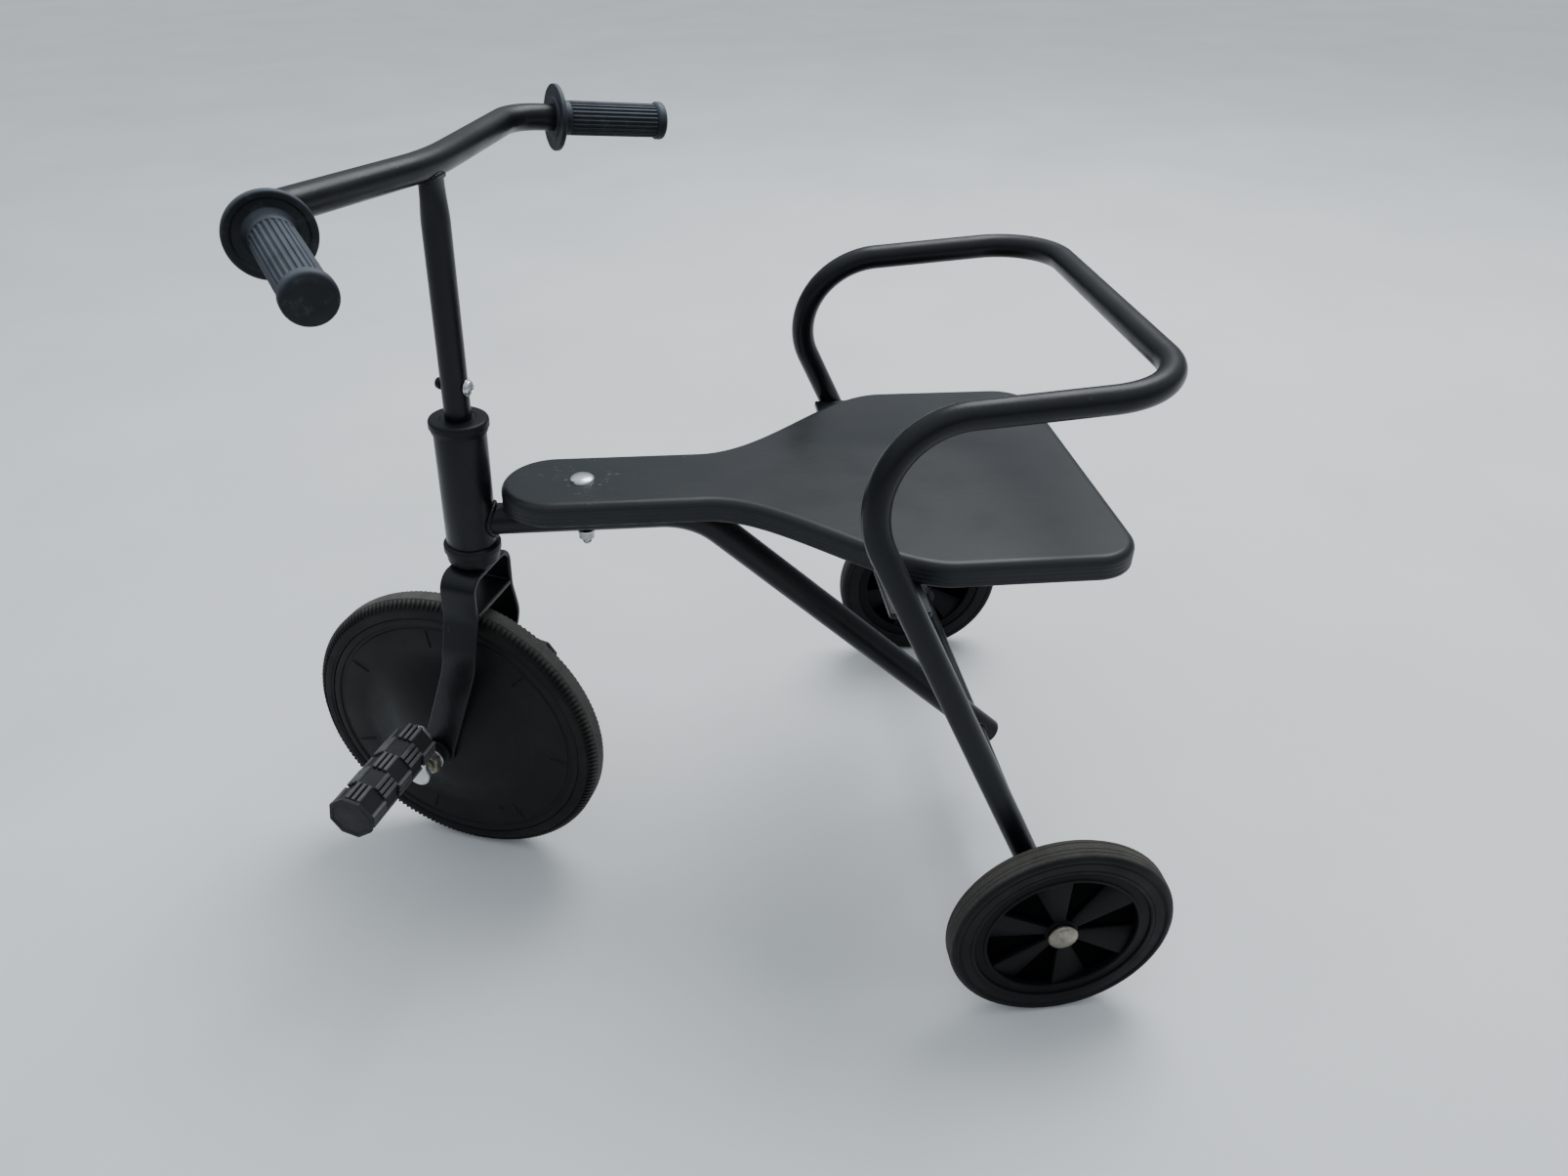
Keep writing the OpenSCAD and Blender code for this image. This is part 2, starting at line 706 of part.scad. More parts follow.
// Side view of the flat bar: straight below the crown, then leaning forward to the axle
module fork_side() {
    half = fork_w / 2;
    polygon(concat([[-half, crown_h + 1], [half, crown_h + 1], [half, lean_h]],
        arc([fork_offset, 0], half, 0, -180), [[-half, lean_h]]));
}

module fork() {
    color(c_paint) steering_frame() difference() {
        intersection() {
            rotate([90, 0, 90]) linear_extrude(4 * fork_w, center = true) fork_front();
            rotate([90, 0, 0]) linear_extrude(4 * fork_half, center = true) fork_side();
        }
        translate([fork_offset, 0, 0])
            y_rod(fork_bush_d + 2 * fix_gap, -fork_end_half - 1, fork_end_half + 1);
    }
}

module fork_brace() {
    inner = fork_half - fork_t;
    brace_t = 3.5;
    color(c_paint) steering_frame() translate([-fork_w / 2, -inner, brace_h - brace_t])
        cube([fork_w, 2 * inner, brace_t]);
}

module steerer_tube() {
    color(c_paint) steering_frame() difference() {
        translate([0, 0, crown_h]) cylinder(d = steerer_d, h = steerer_top_s - crown_h);
        translate([0, 0, crown_h + 2])
            cylinder(d = steerer_d - 4, h = steerer_top_s - crown_h);
        translate([0, 0, stem_bolt_s]) rotate([0, 90, 0])
            cylinder(d = stem_bolt_d + 0.3, h = 4 * steerer_d, center = true);
    }
}

module stem_tube() {
    solid_top = 34;
    pinch_l = 24;
    pinch = 3.2;
    pinch_angle = atan2(pinch, pinch_l);
    color(c_paint) steering_frame() difference() {
        translate([0, 0, stem_foot_s]) cylinder(d = bar_d, h = bar_s - stem_foot_s);
        // Bore that takes the steerer
        translate([0, 0, stem_foot_s - 1])
            cylinder(d = steerer_d + 2 * fix_gap, h = steerer_top_s - stem_foot_s + 2);
        translate([0, 0, steerer_top_s])
            cylinder(d = bar_d - 2 * bar_wall - 1, h = bar_s - solid_top - steerer_top_s);
        // Flats where the top is pressed together fore and aft
        for (side = [0, 180]) rotate([0, 0, side])
            translate([bar_d / 2, 0, bar_s - bar_d / 2 - pinch_l]) rotate([0, -pinch_angle, 0])
                translate([0, -bar_d, 0]) cube([bar_d, 2 * bar_d, 2 * pinch_l + bar_d]);
        // Hollow that fits the handlebar's middle
        translate(bar_mid) rotate([90, 0, 0])
            cylinder(d = bar_d + 2 * (bend_skin + fix_gap) + 0.4, h = 3 * bar_d, center = true);
        translate([0, 0, stem_bolt_s]) rotate([0, 90, 0])
            cylinder(d = stem_bolt_d + 0.3, h = 4 * bar_d, center = true);
    }
}

module handlebar() {
    color(c_paint) steering_frame()
        bent_tube(bar_route, [bar_bend_r, bar_mid_r, bar_bend_r], bar_d, bar_d - 2 * bar_wall);
}

module grip(side) {
    bend = side > 0 ? bar_bend : flip_y(bar_bend);
    way = side > 0 ? end_dir : flip_y(end_dir);
    guard_t = 4;
    collar_l = 7;
    soft = 1.5;
    color(c_rubber) steering_frame() towards(bend, bend + way)
        difference() {
            union() {
                translate([0, 0, guard_at]) cylinder(d = guard_d, h = guard_t);
                translate([0, 0, guard_at]) cylinder(d = grip_d, h = bar_end_l - guard_at - soft);
                translate([0, 0, bar_end_l - collar_l])
                    cylinder(d = grip_end_d, h = collar_l - soft);
                translate([0, 0, bar_end_l - soft])
                    cylinder(d1 = grip_end_d, d2 = grip_end_d - 2 * soft, h = soft);
            }
            translate([0, 0, guard_at - 1])
                cylinder(d = bar_d + 2 * fix_gap, h = bar_end_l - grip_wall - guard_at + 1 + fix_gap);
        }
}

module grip_left() grip(1);
module grip_right() grip(-1);

stem_washer_t = 1;

module stem_bolt() {
    head_h = 2.8;
    color(c_zinc) steering_frame() translate([-bar_d / 2 - stem_washer_t, 0, stem_bolt_s])
        rotate([0, 90, 0]) {
            cylinder(d = stem_bolt_d, h = bar_d + stem_washer_t + 4.5);
            difference() {
                translate([0, 0, -head_h]) cylinder(d1 = 6.5, d2 = 9.2, h = head_h);
                translate([0, 0, -head_h - 1]) cylinder(d = 3, h = 2.8, $fn = 6);
            }
        }
}

module stem_bolt_washer() {
    color(c_zinc) steering_frame() translate([-bar_d / 2 - stem_washer_t, 0, stem_bolt_s])
        rotate([0, 90, 0]) linear_extrude(stem_washer_t) ring(10.5, stem_bolt_d + 2 * fix_gap);
}

module stem_bolt_nut() {
    nut_h = 6;
    color(c_plastic) steering_frame() translate([bar_d / 2, 0, stem_bolt_s])
        rotate([0, 90, 0]) difference() {
            cylinder(d = nut_flat_5 * across_corners, h = nut_h, $fn = 6);
            translate([0, 0, -1]) cylinder(d = stem_bolt_d + 2 * fix_gap, h = nut_h);
        }
}

module fork_bush(side) {
    color(c_plastic) front_axle_frame() rotate([0, 0, side > 0 ? 0 : 180]) difference() {
        union() {
            y_rod(fork_bush_d, fork_end_half - fork_t, fork_end_half + 1);
            y_rod(22, fork_end_half, bush_flange_y);
            y_rod(17, fork_end_half, bush_out_y);
        }
        y_rod(front_axle_d + 2 * run_gap, 0, bush_out_y + 1);
    }
}

module fork_bush_left() fork_bush(1);
module fork_bush_right() fork_bush(-1);

// ---- Front wheel ----

bead_r = disc_r - 2.3;
bead_y = 7;

module front_tyre() {
    half = front_tyre_w / 2;
    side_r = disc_r + 0.3;
    color(c_rubber) front_axle_frame() along_y() rotate_extrude()
        polygon([[bead_r, -bead_y], [side_r, -bead_y], [side_r, -half],
            [front_r - shoulder_h, -half], [front_r, -tread_w / 2], [front_r, tread_w / 2],
            [front_r - shoulder_h, half], [side_r, half], [side_r, bead_y], [bead_r, bead_y]]);
}

// A wheel disc: a domed skin with a flat outer band and an inner rim that meets its twin
module wheel_disc(side) {
    skin = 2.2;
    lip_y = bead_y + fix_gap;
    face_y = front_tyre_w / 2 - 0.8;
    flat_r = disc_r - 27;
    rim_r = bead_r - fix_gap;
    bore_r = hub_d / 2 + fix_gap;
    dome_steps = 8;
    // Height of the skin's outer face at radius r
    function dome(r) = face_y + (dome_y - face_y) * pow(cos(90 * (r - bore_r) / (flat_r - bore_r)), 1.6);
    radii = [for (i = [dome_steps:-1:0]) bore_r + (flat_r - bore_r) * i / dome_steps];
    color(c_plastic) front_axle_frame() rotate([0, 0, side > 0 ? 0 : 180]) along_y()
        rotate_extrude()
            polygon(concat([[rim_r - skin, 0.1], [rim_r, 0.1], [rim_r, lip_y], [disc_r, lip_y],
                [disc_r, face_y], [disc_r - 5, face_y], [disc_r - 6, face_y - 1],
                [disc_r - 7.5, face_y - 1], [disc_r - 8.5, face_y], [flat_r + 3, face_y]],
                [for (r = radii) [r, dome(r)]],
                [for (i = [dome_steps:-1:0]) [radii[i], dome(radii[i]) - skin]],
                [[rim_r - skin, face_y - skin]]));
}

module wheel_disc_left() wheel_disc(1);
module wheel_disc_right() wheel_disc(-1);

module front_hub() {
    color(c_plastic) front_axle_frame() difference() {
        y_rod(hub_d, -hub_y, hub_y);
        y_rod(front_axle_d + 2 * fix_gap, -hub_y - 1, hub_y + 1);
    }
}

module front_axle() {
    color(c_zinc) front_axle_frame() y_rod(front_axle_d, -crank_y, crank_y);
}

module crank(side) {
    eye_d = 17;
    waist_w = 10;
    color(c_zinc) crank_frame(side) difference() {
        union() {
            y_rod(eye_d, crank_y - crank_t, crank_y);
            translate([crank_l, 0, 0]) {
                y_rod(eye_d, crank_y - crank_t, crank_y);
                y_rod(spindle_d + 5, crank_y - eps, crank_y + 1.5);
                y_rod(spindle_d, crank_y - eps, spindle_end_y);
            }
            translate([0, crank_y - crank_t, -waist_w / 2])
                cube([crank_l, crank_t, waist_w]);
        }
        y_rod(front_axle_d + 2 * fix_gap, crank_y - crank_t - 1, crank_y + 2);
    }
}

module crank_left() crank(1);
module crank_right() crank(-1);

module crank_washers() {
    color(c_zinc) front_axle_frame() for (side = [0, 180]) rotate([0, 0, side])
        translate([0, crank_washer_y, 0]) along_y()
            linear_extrude(crank_washer_t) ring(18, front_axle_d + 2 * fix_gap);
}

module crank_nuts() {
    color(c_brown_zinc) front_axle_frame() for (side = [0, 180]) rotate([0, 0, side])
        translate([0, crank_nut_y, 0]) along_y() difference() {
            cylinder(d = 16 * across_corners, h = crank_nut_t, $fn = 6);
            translate([0, 0, -1]) cylinder(d = front_axle_d + 2 * fix_gap, h = crank_nut_t + 2);
        }
}

// ---- Pedals ----

module pedal_frame(side) {
    crank_frame(side) translate([crank_l, 0, 0]) children();
}

pedal_sides = 8;
lug_rows = 5;

module pedal(side) {
    core_d = pedal_d - 2 * lug_h;
    body_l = pedal_body_end - pedal_in_y;
    flat_w = core_d * tan(180 / pedal_sides);
    row_l = body_l / lug_rows;
    color(c_rubber) pedal_frame(side) difference() {
        union() {
            translate([0, pedal_in_y, 0]) along_y() rotate(180 / pedal_sides)
                cylinder(d = core_d / cos(180 / pedal_sides), h = body_l, $fn = pedal_sides);
            for (row = [0:lug_rows - 1])
                for (face = [0:pedal_sides - 1])
                    if ((row + face) % 2 == 0)
                        translate([0, pedal_in_y + row * row_l, 0])
                            rotate([0, 360 * face / pedal_sides, 0])
                                translate([core_d / 2 - 1, 0, -flat_w / 2])
                                    cube([lug_h + 1, row_l, flat_w]);
        }
        y_rod(spindle_d + 2 * run_gap, pedal_in_y - 1, pedal_body_end + 1);
        y_rod(pocket_d, pedal_body_end - pocket_l, pedal_body_end + 1);
    }
}

module pedal_left() pedal(1);
module pedal_right() pedal(-1);

module pedal_cap(side) {
    plug_l = 3;
    color(c_rubber) pedal_frame(side) {
        translate([0, pedal_body_end, 0]) along_y() rotate(180 / pedal_sides)
            cylinder(d = pedal_d / cos(180 / pedal_sides) - 1, h = pedal_cap_t, $fn = pedal_sides);
        y_rod(pocket_d - 2 * fix_gap, pedal_body_end - plug_l, pedal_body_end + eps);
    }
}

module pedal_cap_left() pedal_cap(1);
module pedal_cap_right() pedal_cap(-1);

// Push-on clip that keeps the pedal on its spindle
module pedal_clip(side) {
    color(c_zinc) pedal_frame(side) translate([0, clip_y, 0]) along_y()
        linear_extrude(clip_t) ring(13, spindle_d + 2 * fix_gap);
}

module pedal_clip_left() pedal_clip(1);
module pedal_clip_right() pedal_clip(-1);

head_tube();
main_tube();
main_tube_plug();
seat_loop();
rear_axle();
seat_bar();
seat_board();
seat_bolt();
seat_bolt_washer();
seat_bolt_nut();
seat_screws();
upper_head_bush();
lower_head_bush();
rear_washers();
axle_cap_left();
axle_cap_right();
fork();
fork_brace();
steerer_tube();
stem_tube();
handlebar();
grip_left();
grip_right();
stem_bolt();
stem_bolt_washer();
stem_bolt_nut();
fork_bush_left();
fork_bush_right();
front_tyre();
wheel_disc_left();
wheel_disc_right();
front_hub();
front_axle();
crank_left();
crank_right();
crank_washers();
crank_nuts();
pedal_left();
pedal_cap_left();
pedal_clip_left();
pedal_right();
pedal_cap_right();
pedal_clip_right();
rear_tyre_left();
rear_rim_left();
rear_bush_left();
rear_tyre_right();
rear_rim_right();
rear_bush_right();
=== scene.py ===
import json
import math

import bmesh
import bpy
import numpy as np
from mathutils import Matrix, Vector


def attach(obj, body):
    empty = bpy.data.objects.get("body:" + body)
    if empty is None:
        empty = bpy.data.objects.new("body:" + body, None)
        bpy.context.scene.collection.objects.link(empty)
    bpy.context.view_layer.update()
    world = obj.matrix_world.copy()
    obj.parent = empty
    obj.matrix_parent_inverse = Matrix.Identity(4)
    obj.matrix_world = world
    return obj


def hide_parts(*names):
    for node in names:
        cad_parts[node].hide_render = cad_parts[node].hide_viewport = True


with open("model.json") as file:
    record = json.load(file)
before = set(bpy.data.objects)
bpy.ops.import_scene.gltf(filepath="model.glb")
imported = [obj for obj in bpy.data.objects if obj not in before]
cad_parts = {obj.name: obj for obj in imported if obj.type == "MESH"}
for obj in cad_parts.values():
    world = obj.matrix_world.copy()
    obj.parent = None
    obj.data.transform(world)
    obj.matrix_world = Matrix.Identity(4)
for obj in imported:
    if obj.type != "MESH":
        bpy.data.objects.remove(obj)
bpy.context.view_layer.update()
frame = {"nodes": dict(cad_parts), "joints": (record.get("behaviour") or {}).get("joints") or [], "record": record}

# Child's pedal tricycle. Lengths in this file are millimetres until a mesh is made.
MM = 0.001

# ---- Sizes, as in the CAD model ----

BAR_D = 16.5
MAIN_D = 21.0
HEAD_D = 33.0
HEAD_L = 80.0
BEND_SKIN = 0.2
SEAT_H = 316.0
SEAT_T = 16.0
SEAT_L = 392.0
SEAT_REAR_W = 251.0
SEAT_NOSE_W = 70.0
SEAT_CORNER_R = 30.0
FLARE_START = 130.0
FLARE_L = 145.0
BOLT_BACK = 52.5
BOLT_X = 68.505
SEAT_BAR_W = 25.0
SEAT_BAR_T = 4.0
ARM_Y = 136.0
TRACK_W = 428.6
REAR_R = 74.0
REAR_TYRE_W = 17.3
REAR_SEAT_R = 58.0
REAR_OPEN_R = 49.4
BLADES = 6
BLADE_AT = 43.0
BLADE_SLANT = 8.0
BLADE_T = 9.0
REAR_AXLE_D = 10.0
CAP_D = 20.0
FRONT_R = 113.0
FRONT_TYRE_W = 22.0
TREAD_W = 10.0
SHOULDER_H = 6.0
DISC_R = 99.3
DOME_Y = 28.9
HUB_D = 24.0
CROWN_H = 150.0
FORK_OFFSET = 27.0
FORK_W = 25.0
FORK_T = 4.0
FORK_HALF = 27.0
FORK_END_HALF = 34.0
FORK_CORNER_R = 12.0
SPLAY_H = 118.0
SPLAY_L = 26.0
LEAN_H = 85.0
BRACE_H = 123.0
CRANK_L = 37.0
CRANK_T = 5.0
CRANK_Y = 62.0
PEDAL_END_Y = 143.7
PEDAL_D = 30.0
LUG_H = 2.4
SPINDLE_D = 8.0
PEDAL_SIDES = 8
LUG_ROWS = 5
BAR_HALF = 127.0
BAR_FWD = 14.0
BAR_RISE = 2.5
BAR_END_L = 105.0
BAR_SWEEP = 46.5
BAR_FALL = 4.0
GRIP_D = 21.5
GUARD_D = 41.0
GRIP_END_D = 24.0
GUARD_AT = 27.0
STEM_BOLT_UP = 21.0
SIDE_GAP = 0.3
FIX_GAP = 0.05
RUN_GAP = 0.07

# Heights along the steering axis, from the front axle's plane
LOWER_BUSH_H = 16.0
UPPER_BUSH_H = 9.0
BUSH_LIP = 2.3
LOWER_BUSH_S = CROWN_H + SIDE_GAP
HEAD_S = LOWER_BUSH_S + LOWER_BUSH_H
UPPER_BUSH_S = HEAD_S + HEAD_L
HEAD_TOP_S = UPPER_BUSH_S + UPPER_BUSH_H
STEM_BOLT_S = HEAD_TOP_S + STEM_BOLT_UP

# ---- Places, from the joints and the record ----

joints = {j["name"]: j for j in frame["joints"]}


def joint_point(name):
    return Vector(joints[name]["pos_m"]) / MM


def joint_way(name):
    return Vector(joints[name]["axis"]).normalized()


def axes_frame(x, y, z, at):
    return Matrix(((x.x, y.x, z.x, at.x), (x.y, y.y, z.y, at.y), (x.z, y.z, z.z, at.z), (0, 0, 0, 1)))


def shift(x, y, z):
    return Matrix.Translation((x, y, z))


def turn(degrees, axis):
    return Matrix.Rotation(math.radians(degrees), 4, axis)


ACROSS = Vector((0, 1, 0))
steer_up = joint_way("steer")
wheel_way = joint_way("front_wheel_spin")
steer_at = joint_point("steer")
steering_frame = axes_frame(wheel_way.cross(steer_up), wheel_way, steer_up, steer_at)
head_frame = axes_frame(ACROSS.cross(steer_up), ACROSS, steer_up, steer_at)
axle_at = joint_point("front_wheel_spin")
front_frame = steering_frame @ shift(FORK_OFFSET, 0, 0)
rear_at = joint_point("left_rear_wheel_spin")
seat_up = Vector(next(m["axis"] for m in frame["record"]["mounts"] if m["name"] == "seat_top"))
seat_frame = axes_frame(ACROSS.cross(seat_up), ACROSS, seat_up, Vector((BOLT_X, 0, SEAT_H)))
# Turns a frame so that its Z runs along the axle and its X stays
ALONG_AXLE = turn(-90, "X")
SIDES = {"left": 0.0, "right": 180.0}


def crank_frame(side):
    arm = (joint_point(side + "_pedal_spin") - axle_at).normalized()
    out = wheel_way if side == "left" else -wheel_way
    return axes_frame(arm, out, arm.cross(out), axle_at)


def wheel_frame(side):
    """The front wheel's frame with its Z out towards one side."""
    return front_frame @ turn(SIDES[side], "Z") @ ALONG_AXLE


def pedal_frame(side):
    """A pedal's frame with its Z out along its spindle."""
    return crank_frame(side) @ shift(CRANK_L, 0, 0) @ ALONG_AXLE


def rear_frame(side):
    return shift(*rear_at) @ turn(SIDES[side], "Z") @ ALONG_AXLE


def facing(start, end):
    """A frame at start with its Z towards end."""
    z = (end - start).normalized()
    x = (Vector((1, 0, 0)) if abs(z.z) > 0.9 else Vector((0, 0, 1))).cross(z).normalized()
    return axes_frame(x, z.cross(x), z, start)


# ---- Meshes ----

SHARP = math.radians(38)
FINE = 96


def plain_mesh(name, points, faces, place=None, edges=()):
    place = place or Matrix.Identity(4)
    mesh = bpy.data.meshes.new(name)
    mesh.from_pydata([(place @ Vector(p)) * MM for p in points], list(edges), faces)
    return mesh


def tidy_mesh(mesh):
    """Merges doubles, turns the faces outwards and smooths all but the sharp edges."""
    shape = bmesh.new()
    shape.from_mesh(mesh)
    bmesh.ops.remove_doubles(shape, verts=shape.verts, dist=2e-6)
    bmesh.ops.dissolve_degenerate(shape, edges=shape.edges, dist=1e-6)
    bmesh.ops.recalc_face_normals(shape, faces=shape.faces)
    shape.to_mesh(mesh)
    shape.free()
    mesh.shade_smooth()
    mesh.set_sharp_from_angle(angle=SHARP)
    return mesh


def joined(name, meshes):
    """One mesh from several, each kept as its own closed shell."""
    shape = bmesh.new()
    for mesh in meshes:
        shape.from_mesh(mesh)
    whole = bpy.data.meshes.new(name)
    shape.to_mesh(whole)
    shape.free()
    return whole


def rounded(corners, steps=4, closed=True):
    """A profile with its corners rounded. A corner is (r, z) or (r, z, rounding)."""
    out, count = [], len(corners)
    for i, corner in enumerate(corners):
        p = Vector(corner[:2])
        radius = corner[2] if len(corner) > 2 else 0
        if not radius or (not closed and i in (0, count - 1)):
            out.append(tuple(p))
            continue
        before = Vector(corners[i - 1][:2]) - p
        after = Vector(corners[(i + 1) % count][:2]) - p
        half = before.angle(after) / 2
        back = min(radius / math.tan(half), 0.49 * before.length, 0.49 * after.length)
        radius = back * math.tan(half)
        centre = p + (before.normalized() + after.normalized()).normalized() * (radius / math.sin(half))
        start = p + before.normalized() * back - centre
        end = p + after.normalized() * back - centre
        sweep = start.angle_signed(end)
        for k in range(steps + 1):
            spoke = start.copy()
            spoke.rotate(Matrix.Rotation(-sweep * k / steps, 2))
            out.append(tuple(centre + spoke))
    return out


def lathe(name, profile, place, steps=FINE, ring=True, phase=0.0):
    """A profile of (r, z) turned about Z. A ring's profile closes on itself; any other ends on the axis."""
    points, faces, count = [], [], len(profile)
    for k in range(steps):
        a = 2 * math.pi * k / steps + phase
        points += [(r * math.cos(a), r * math.sin(a), z) for r, z in profile]
    for k in range(steps):
        here, there = k * count, (k + 1) % steps * count
        for i in range(count if ring else count - 1):
            j = (i + 1) % count
            faces.append((here + i, here + j, there + j, there + i))
    return tidy_mesh(plain_mesh(name, points, faces, place))


def loft(name, sections, place=None, closed=False):
    """A skin over loops of points with the same count, capped at both ends unless it closes on itself."""
    count = len(sections[0])
    points = [p for loop in sections for p in loop]
    faces = []
    for k in range(len(sections) if closed else len(sections) - 1):
        here, there = k * count, (k + 1) % len(sections) * count
        for i in range(count):
            j = (i + 1) % count
            faces.append((here + i, here + j, there + j, there + i))
    if not closed:
        faces += [tuple(range(count)), tuple(range(len(points) - count, len(points)))]
    return tidy_mesh(plain_mesh(name, points, faces, place))


def rounded_plate(name, outline, z0, z1, bevel, place, steps=4):
    """A flat plate with an outline of (x, y) points and rounded edges."""
    line = [Vector(p) for p in outline]
    area = sum(a.x * b.y - b.x * a.y for a, b in zip(line, line[1:] + line[:1]))
    if area < 0:
        line.reverse()
    inward = []
    for i, p in enumerate(line):
        way = (line[(i + 1) % len(line)] - line[i - 1]).normalized()
        inward.append(Vector((-way.y, way.x)))
    low, high = bevel if isinstance(bevel, tuple) else (bevel, bevel)
    rings = [(low + 0.4, z0)]
    rings += [(low * (1 - math.sin(t)), z0 + low * (1 - math.cos(t)))
              for t in (math.pi / 2 * k / steps for k in range(steps + 1))]
    rings += [(high * (1 - math.cos(t)), z1 - high * (1 - math.sin(t)))
              for t in (math.pi / 2 * k / steps for k in range(steps + 1))]
    rings += [(high + 0.4, z1)]
    loops = [[(*(p + n * inset), z) for p, n in zip(line, inward)] for inset, z in rings]
    return loft(name, loops, place)


# ---- Patterns grown with geometry nodes ----


def new_tree(name, sockets):
    tree = bpy.data.node_groups.new(name, "GeometryNodeTree")
    tree.interface.new_socket("Geometry", in_out="INPUT", socket_type="NodeSocketGeometry")
    for label, kind, value in sockets:
        socket = tree.interface.new_socket(label, in_out="INPUT", socket_type="NodeSocket" + kind)
        if value is not None:
            socket.default_value = value
    tree.interface.new_socket("Material", in_out="INPUT", socket_type="NodeSocketMaterial")
    tree.interface.new_socket("Geometry", in_out="OUTPUT", socket_type="NodeSocketGeometry")
    return tree


class Wiring:
    """Adds nodes to a tree and joins their sockets."""

    def __init__(self, tree):
        self.tree = tree
        self.inputs = self.add("NodeGroupInput").outputs

    def add(self, kind, links=None, **settings):
        node = self.tree.nodes.new(kind)
        for key, value in settings.items():
            setattr(node, key, value)
        for key, value in (links or {}).items():
            socket = node.inputs[key]
            if isinstance(value, bpy.types.NodeSocket):
                self.tree.links.new(value, socket)
            else:
                socket.default_value = value
        return node

    def math(self, operation, a, b=0.0):
        return self.add("ShaderNodeMath", {0: a, 1: b}, operation=operation).outputs[0]

    def vector(self, x=0.0, y=0.0, z=0.0):
        return self.add("ShaderNodeCombineXYZ", {0: x, 1: y, 2: z}).outputs[0]

    def close(self, geometry):
        """Ends the tree in real geometry with its finish on it."""
        real = self.add("GeometryNodeRealizeInstances", {"Geometry": geometry}).outputs[0]
        done = self.add("GeometryNodeSetMaterial",
                        {"Geometry": real, "Material": self.inputs["Material"]}).outputs[0]
        self.add("NodeGroupOutput", {"Geometry": done})
        return self.tree


def make_tube_tree():
    """A round tube along a route."""
    w = Wiring(new_tree("tube_along_route", [("Diameter", "Float", 0.0165), ("Sides", "Int", 40)]))
    route = w.add("GeometryNodeMeshToCurve", {"Mesh": w.inputs["Geometry"]}).outputs[0]
    radius = w.math("DIVIDE", w.inputs["Diameter"], 2.0)
    section = w.add("GeometryNodeCurvePrimitiveCircle",
                    {"Resolution": w.inputs["Sides"], "Radius": radius}).outputs[0]
    skin = w.add("GeometryNodeCurveToMesh",
                 {"Curve": route, "Profile Curve": section, "Fill Caps": True}).outputs[0]
    return w.close(skin)


def make_bead_tree():
    """A weld bead along a seam, with the ripples that each pause of the torch leaves."""
    w = Wiring(new_tree("weld_bead", [("Width", "Float", 0.003), ("Ripples", "Int", 24),
                                      ("Ripple Depth", "Float", 0.16), ("Unevenness", "Float", 0.25),
                                      ("Closed", "Bool", True), ("Seed", "Float", 3.0)]))
    seam = w.add("GeometryNodeMeshToCurve", {"Mesh": w.inputs["Geometry"]}).outputs[0]
    seam = w.add("GeometryNodeSetSplineCyclic",
                 {"Geometry": seam, "Cyclic": w.inputs["Closed"]}).outputs[0]
    points = w.math("MULTIPLY", w.inputs["Ripples"], 7.0)
    seam = w.add("GeometryNodeResampleCurve", {"Curve": seam, "Count": points}).outputs[0]
    along = w.add("GeometryNodeSplineParameter").outputs["Factor"]
    phase = w.math("MULTIPLY", w.math("MULTIPLY", along, w.inputs["Ripples"]), 2 * math.pi)
    wave = w.math("MULTIPLY", w.math("ABSOLUTE", w.math("SINE", w.math("DIVIDE", phase, 2.0))),
                  w.inputs["Ripple Depth"])
    place = w.add("GeometryNodeInputPosition").outputs[0]
    uneven = w.add("ShaderNodeTexNoise", {"Vector": place, "W": w.inputs["Seed"], "Scale": 180.0},
                   noise_dimensions="4D").outputs[0]
    uneven = w.math("MULTIPLY", w.math("SUBTRACT", uneven, 0.5), w.inputs["Unevenness"])
    size = w.math("ADD", w.math("ADD", wave, uneven), 0.9)
    section = w.add("GeometryNodeCurvePrimitiveCircle",
                    {"Resolution": 10, "Radius": w.math("DIVIDE", w.inputs["Width"], 2.0)}).outputs[0]
    links = {"Curve": seam, "Profile Curve": section, "Fill Caps": True}
    skin = w.add("GeometryNodeCurveToMesh", links)
    if "Scale" in skin.inputs:
        w.tree.links.new(size, skin.inputs["Scale"])
    else:
        sized = w.add("GeometryNodeSetCurveRadius", {"Curve": seam, "Radius": size}).outputs[0]
        w.tree.links.new(sized, skin.inputs["Curve"])
    return w.close(skin.outputs[0])


def make_turned_tree():
    """Copies of one shape turned evenly about Z, each a little worn."""
    w = Wiring(new_tree("turned_copies", [("Copies", "Int", 6), ("First Angle", "Float", 0.0),
                                          ("Wear", "Float", 0.0), ("Seed", "Int", 1)]))
    spots = w.add("GeometryNodeMeshLine",
                  {"Count": w.inputs["Copies"], "Offset": (0.0, 0.0, 0.0)}).outputs[0]
    index = w.add("GeometryNodeInputIndex").outputs[0]
    pitch = w.math("DIVIDE", 2 * math.pi, w.inputs["Copies"])
    angle = w.math("ADD", w.math("MULTIPLY", index, pitch), w.inputs["First Angle"])
    worn = w.add("FunctionNodeRandomValue", {"Seed": w.inputs["Seed"]}).outputs["Value"]
    size = w.math("SUBTRACT", 1.0, w.math("MULTIPLY", worn, w.inputs["Wear"]))
    copies = w.add("GeometryNodeInstanceOnPoints",
                   {"Points": spots, "Instance": w.inputs["Geometry"],
                    "Rotation": w.vector(z=angle), "Scale": w.vector(size, size, size)}).outputs[0]
    return w.close(copies)


